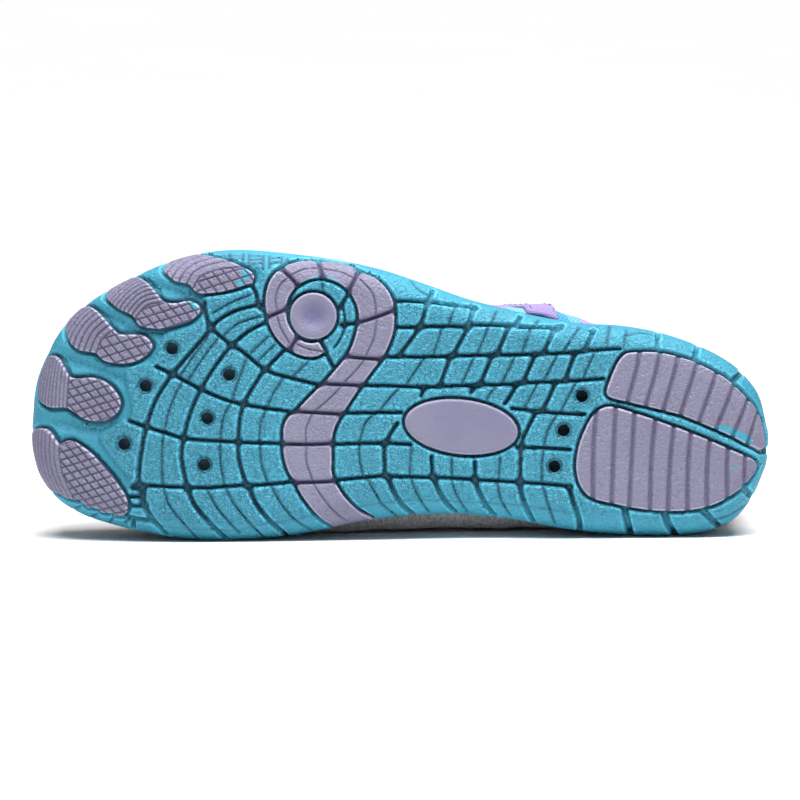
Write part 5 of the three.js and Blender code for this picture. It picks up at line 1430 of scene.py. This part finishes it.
def moulded_rubber(name, face, lit, painted_shade, pale, grain=1.0, roughness=0.5, paint=None):
    """Rubber with a crumpled grain, cloudy colour, painted shade in its recesses and creases, painted highlights on
    its edges and a few dark specks.
    """
    material, tree = new_material(name)
    place = add_node(tree, "TexCoord", out="Object")
    recess = add_node(tree, "Attribute", out="Fac", attribute_name="recess")
    smooth_skin = add_node(tree, "Attribute", out="Fac", attribute_name="smooth")
    cloud = add_node(tree, "TexNoise", {"Vector": place, "Scale": PER_MM / MOTTLE_MM, "Detail": 3.0})
    layers = [(add_node(tree, "MapRange", {0: cloud, 1: 0.35, 2: 0.65}), lit)]
    if paint:
        layers.append((add_node(tree, "Attribute", out="Fac", attribute_name="teal"), paint))
    # A painted highlight on the edges, where recess is under 0, and painted shade in the recesses, where it is over 0.
    layers.append((add_node(tree, "MapRange", {0: recess, 1: 0.0, 2: -1.0, 4: 0.6}), pale))
    layers.append((add_node(tree, "MapRange", {0: recess}), painted_shade))
    # Specks lie in the middle of some cells only, where a second noise is high.
    speck = add_node(tree, "TexVoronoi", {"Vector": place, "Scale": PER_MM / SPECK_MM}, "Distance")
    speck = add_node(tree, "MapRange", {0: speck, 1: 0.07, 2: 0.035})
    rare = add_node(tree, "TexNoise", {"Vector": place, "Scale": PER_MM / 9})
    rare = add_node(tree, "Math", {0: rare, 1: 0.6}, operation="GREATER_THAN")
    speck = add_node(tree, "Math", {0: speck, 1: rare}, operation="MULTIPLY")
    layers.append((add_node(tree, "Math", {0: speck, 1: 0.75}, operation="MULTIPLY"), SPECK_COLOUR))
    # The creases of the grain run where a noise crosses its middle.
    crumple = add_node(tree, "TexNoise", {"Vector": place, "Scale": PER_MM / GRAIN_MM, "Detail": 1.0,
                                          "Roughness": 0.5, "Distortion": 0.6})
    creases = add_node(tree, "Math", {0: crumple, 1: 0.5}, operation="SUBTRACT")
    creases = add_node(tree, "Math", {0: creases}, operation="ABSOLUTE")
    height = add_node(tree, "Math", {0: crumple, 1: 0.5}, operation="MULTIPLY")
    height = add_node(tree, "Math", {0: creases, 1: -2.2, 2: height}, operation="MULTIPLY_ADD")
    strength = add_node(tree, "Math", {0: smooth_skin, 1: 0.85}, operation="MULTIPLY")
    strength = add_node(tree, "Math", {0: 1.0, 1: strength}, operation="SUBTRACT")
    height = add_node(tree, "Math", {0: height, 1: strength}, operation="MULTIPLY")
    height = add_node(tree, "Math", {0: height, 1: grain}, operation="MULTIPLY")
    fine = add_node(tree, "TexNoise", {"Vector": place, "Scale": PER_MM / FINE_GRAIN_MM, "Detail": 2.0})
    height = add_node(tree, "Math", {0: fine, 1: 0.15, 2: height}, operation="MULTIPLY_ADD")
    # The creases are also painted darker with the recess colour: painted shade.
    crease_shade = add_node(tree, "MapRange", {0: creases, 1: 0.035, 2: 0.0, 4: 0.32 * grain})
    layers.append((add_node(tree, "Math", {0: crease_shade, 1: strength}, operation="MULTIPLY"), painted_shade))
    bump = add_node(tree, "Bump", {"Strength": 1.0, "Distance": GRAIN_HEIGHT_MM * MM, "Height": height})
    rough = add_node(tree, "MapRange", {0: cloud, 3: roughness - 0.06, 4: roughness + 0.08})
    finish_surface(tree, {"Base Color": layered(tree, face, layers), "Roughness": rough, "IOR": RUBBER_IOR,
                          "Specular IOR Level": 0.3, "Normal": bump})
    return material


# Four colours each: the face, its lighter clouds, the painted shade of the recesses and the painted highlight of the
# edges
TEAL = "#34899F"
teal_rubber = moulded_rubber("moulded_rubber_teal", "#2B7B92", "#30849B", "#0D384A", "#5CBCD8")
lavender_rubber = moulded_rubber(
    "moulded_rubber_lavender", "#6B687F", "#727086", "#352F52", "#C0BCD4", 0.38, 0.5, TEAL)
# The button and the plate come from polished places of the mould, so they are smoother and a little glossier.
lavender_smooth = moulded_rubber(
    "moulded_rubber_lavender_smooth", "#6A6780", "#706E84", "#4C4A7A", "#A6A2BA", 0.12, 0.42)
smooth_lugs = [bpy.data.objects[name] for name in ("moulded_button", "moulded_oval_plate")]
other_lugs = [item for item in bpy.data.objects
              if item.name.startswith("moulded_") and item not in (*smooth_lugs, outsole)]
wear_the([outsole], teal_rubber)
wear_the(other_lugs, lavender_rubber)
wear_the(smooth_lugs, lavender_smooth)
print("rubber pieces:", 1 + len(other_lugs) + len(smooth_lugs))

# %% [markdown]
# ## Knit and webbing
# The upper is polyester spandex knit: its stitches are about 0.8 mm, drawn 1.2 mm here so that they show. Polyester
# has an IOR of about 1.55 and a soft sheen. On the outer side the knit changes colour in zones, as dyed panels do.

# %% Knit and weave
POLYESTER_IOR = 1.55
KNIT_MM, YARN_MOTTLE_MM = 1.2, 1.2


def fabric(name, layers_of, pitch, height_mm, slant=0.0, roughness=0.85, sheen=0.25):
    """Cloth with a stitch pattern that follows the shoe: rows along it and columns up it."""
    material, tree = new_material(name)
    along, up, across = (add_node(tree, "Attribute", out="Fac", attribute_name=key)
                         for key in ("along", "up", "across"))
    wale = add_node(tree, "Math", {0: up, 1: slant, 2: along}, operation="MULTIPLY_ADD")
    wale = add_node(tree, "Math", {0: wale, 1: 2 * math.pi / pitch}, operation="MULTIPLY")
    wale = add_node(tree, "Math", {0: wale}, operation="SINE")
    course = add_node(tree, "Math", {0: across, 1: 0.7}, operation="MULTIPLY")
    course = add_node(tree, "Math", {0: up, 1: course}, operation="ADD")
    course = add_node(tree, "Math", {0: course, 1: 2 * math.pi / (pitch * 0.8)}, operation="MULTIPLY")
    course = add_node(tree, "Math", {0: course}, operation="SINE")
    height = add_node(tree, "Math", {0: wale, 1: 0.5}, operation="MULTIPLY")
    height = add_node(tree, "Math", {0: course, 1: 0.35, 2: height}, operation="MULTIPLY_ADD")
    place = add_node(tree, "TexCoord", out="Object")
    fuzz = add_node(tree, "TexNoise", {"Vector": place, "Scale": PER_MM / 0.5, "Detail": 3.0})
    height = add_node(tree, "Math", {0: fuzz, 1: 0.5, 2: height}, operation="MULTIPLY_ADD")
    shade = add_node(tree, "MapRange", {0: height, 1: -0.7, 2: 0.9, 3: 0.82, 4: 1.0})
    colour = layers_of(tree, along, across, up, fuzz)
    dark = add_node(tree, "Mix", {0: 1.0, 6: colour, 7: shade}, 2, data_type="RGBA", blend_type="MULTIPLY")
    bump = add_node(tree, "Bump", {"Strength": 1.0, "Distance": height_mm * MM, "Height": height})
    finish_surface(tree, {"Base Color": dark, "Roughness": roughness, "IOR": POLYESTER_IOR, "Sheen Weight": sheen,
                          "Normal": bump})
    return material


def one_colour(hex_colour, second):
    """Paint for cloth of one colour, a little uneven."""
    def paint(tree, along, across, up, fuzz):
        return layered(tree, hex_colour, [(fuzz, second)])
    return paint


# Colour zones of the outer side: distance from the heel where each begins, and its colour
KNIT_ZONES = [(0, "#8A80A8"), (55, "#9C7AA8"), (64, "#5C9AAE"), (69, "#2788AC"), (83.5, "#6A9EB2"), (90.5, "#8878A8")]


def knit_colour(tree, along, across, up, fuzz):
    """Colour zones on the outer side, fading to a mottled grey on the inner side, where the shoe lies in shade: the
    grey is painted shade.
    """
    # The zones lean forward with the strap, by this much of the height over the rim.
    at = add_node(tree, "Math", {0: up, 1: 22.0}, operation="SUBTRACT")
    at = add_node(tree, "Math", {0: at, 1: -0.62, 2: along}, operation="MULTIPLY_ADD")
    zones = [(add_node(tree, "MapRange", {0: at, 1: start - 0.25, 2: start + 0.25}), colour)
             for start, colour in KNIT_ZONES[1:]]
    outer = layered(tree, KNIT_ZONES[0][1], zones)
    place = add_node(tree, "TexCoord", out="Object")
    mottle = add_node(tree, "TexNoise", {"Vector": place, "Scale": PER_MM / YARN_MOTTLE_MM, "Detail": 3.0})
    mottle = add_node(tree, "MapRange", {0: mottle, 1: 0.38, 2: 0.62})
    # The grey of the inner side is painted shade.
    plain = layered(tree, "#8A8789", [(mottle, "#ABA8A8")])
    side = add_node(tree, "MapRange", {0: across, 1: -24.0, 2: 2.0}, interpolation_type="SMOOTHSTEP")
    return add_node(tree, "Mix", {0: side, 6: plain, 7: outer}, 2, data_type="RGBA")


knit = fabric("polyester_knit", knit_colour, KNIT_MM, 0.22, 0.6)
# The collar's elastic knit is finer, softer to the light and quite matt; the webbing is woven tight, so its slanting
# ribs are fine and it is smoother.
rib_knit = fabric("ribbed_elastic_knit", one_colour("#75659A", "#8575A8"), 0.7, 0.08, 0.0, 0.9, 0.35)
webbing = fabric("woven_webbing", one_colour("#7C699E", "#8A77AC"), 0.9, 0.12, 0.9, 0.7)
wear_the([knit_upper], knit)
wear_the([collar], rib_knit)
wear_the([strap], webbing)
print("knit stitches drawn", KNIT_MM, "mm wide")

# %% [markdown]
# ## Thread
# The strap is sewn with dark polyester thread. Two plies wind round each other, so that it catches the light in small
# slanting bands. A wave over the beads gives those bands: they are painted lighter, as a painted highlight, and
# bumped; real plies would be finer than the picture shows.

# %% Twist the thread
thread, tree = new_material("twisted_thread")
place = add_node(tree, "TexCoord", out="Object")
twist = add_node(tree, "TexWave", {"Vector": place, "Scale": PER_MM / 3.0, "Distortion": 1.0}, "Fac")
bump = add_node(tree, "Bump", {"Strength": 0.6, "Distance": 0.1 * MM, "Height": twist})
finish_surface(tree, {"Base Color": layered(tree, "#2E2E48", [(twist, "#4A4A68")]), "Roughness": 0.6,
                      "IOR": POLYESTER_IOR, "Normal": bump})
wear_the([stitches], thread)
print("thread:", thread.name)

# %% [markdown]
# ## Foam
# The insole is open-cell foam with a fine fabric skin: quite matt, with pores of about half a millimetre, drawn
# nearly twice as coarse so that they show. Its edge is only seen from inside the shoe.

# %% Foam for the insole
foam, tree = new_material("open_cell_foam")
place = add_node(tree, "TexCoord", out="Object")
pores = add_node(tree, "TexVoronoi", {"Vector": place, "Scale": PER_MM / 0.9}, "Distance")
cloud = add_node(tree, "TexNoise", {"Vector": place, "Scale": PER_MM / 12})
bump = add_node(tree, "Bump", {"Strength": 0.8, "Distance": 0.15 * MM, "Height": pores})
finish_surface(tree, {"Base Color": layered(tree, "#7C8FA6", [(cloud, "#8FA2B8")]), "Roughness": 0.95,
                      "IOR": 1.5, "Normal": bump})
wear_the([insole], foam)
print("foam:", foam.name)

# %% [markdown]
# ## The floor
# The shoe lies on a wide floor painted matt white, which scatters light evenly: it shows a soft shadow and no
# reflection. A plane is enough.

# %% Lay the floor
FLOOR_SIZE = 12.0
bpy.ops.mesh.primitive_plane_add(size=FLOOR_SIZE, location=(0, 0, 0))
floor = bpy.context.object
floor.name = "studio_floor"
pale, tree = new_material("matt_painted_floor")
place = add_node(tree, "TexCoord", out="Object")
brushed = add_node(tree, "TexNoise", {"Vector": place, "Scale": 9.0, "Detail": 2.0})
finish_surface(tree, {"Base Color": layered(tree, "#F4F4F5", [(brushed, "#F7F7F7")]), "Roughness": 0.9})
wear_the([floor], pale)
print("floor:", FLOOR_SIZE, "m wide")

# %% [markdown]
# ## Light
# The photograph is a high-key studio picture: a white ground, a broad light from above and a little fill. A soft box
# over the shoe keeps the grooves readable, a very soft high light whitens the ground, and a dim room fills the
# shadows. Only the camera sees that room as white, or its light would wash the grooves out.

# %% Set the light
ROOM_LIGHT = 0.26  # the room round the paper is dimmer than the paper itself
world = bpy.data.worlds.new("studio")
bpy.context.scene.world = world
world.use_nodes = True
tree = world.node_tree
tree.nodes.clear()
seen = add_node(tree, "LightPath", out="Is Camera Ray")
strength = add_node(tree, "MapRange", {0: seen, 3: ROOM_LIGHT, 4: 1.0})
background = add_node(tree, "Background", {"Color": (1, 1, 1, 1), "Strength": strength})
add_node(tree, "OutputWorld", {"Surface": background})


def area_light(name, place, aim, size, power):
    light = bpy.data.lights.new(name, "AREA")
    light.shape = "RECTANGLE"
    light.size, light.size_y, light.energy = *size, power
    lamp = bpy.data.objects.new(name, light)
    bpy.context.scene.collection.objects.link(lamp)
    lamp.location = place
    lamp.rotation_euler = (Vector(aim) - Vector(place)).to_track_quat("-Z", "Y").to_euler()
    return lamp


area_light("soft_box_above", (0.03, -0.12, 0.4), (0.01, 0.0, 0.03), (0.56, 0.18), 3.7)
high = bpy.data.lights.new("light_on_the_paper", "SUN")
high.energy, high.angle = 2.7, math.radians(50)
lamp = bpy.data.objects.new("light_on_the_paper", high)
bpy.context.scene.collection.objects.link(lamp)
lamp.rotation_euler = (math.radians(-5), math.radians(6), 0)
bpy.context.scene.view_settings.view_transform = "Standard"  # keeps the white ground white

# %% [markdown]
# ## Camera
# The sole was photographed from far off and nearly square on, with the camera a little above it. A long lens from five
# metres gives the same flat view.

# %% Place the camera
PICTURE_CENTRE = (125.7, 4.9, 0)  # where the middle of the picture falls on the sole's plan
FIELD, DISTANCE, SENSOR = 0.2712, 5.0, 36.0
ELEVATION, ROLL = math.radians(6.4), math.radians(-0.5)
aim = Vector(to_room(np.array([PICTURE_CENTRE], float))[0])
lens = bpy.data.cameras.new("camera")
lens.sensor_width, lens.lens = SENSOR, SENSOR * DISTANCE / FIELD
camera = bpy.data.objects.new("camera", lens)
bpy.context.scene.collection.objects.link(camera)
back = Vector((0, -math.cos(ELEVATION), math.sin(ELEVATION)))
camera.location = aim + back * DISTANCE
camera.rotation_euler = ((-back).to_track_quat("-Z", "Y") @ Quaternion((0, 0, 1), ROLL)).to_euler()
bpy.context.scene.camera = camera
print("lens", round(lens.lens, 1), "mm, camera at", [round(v, 3) for v in camera.location])
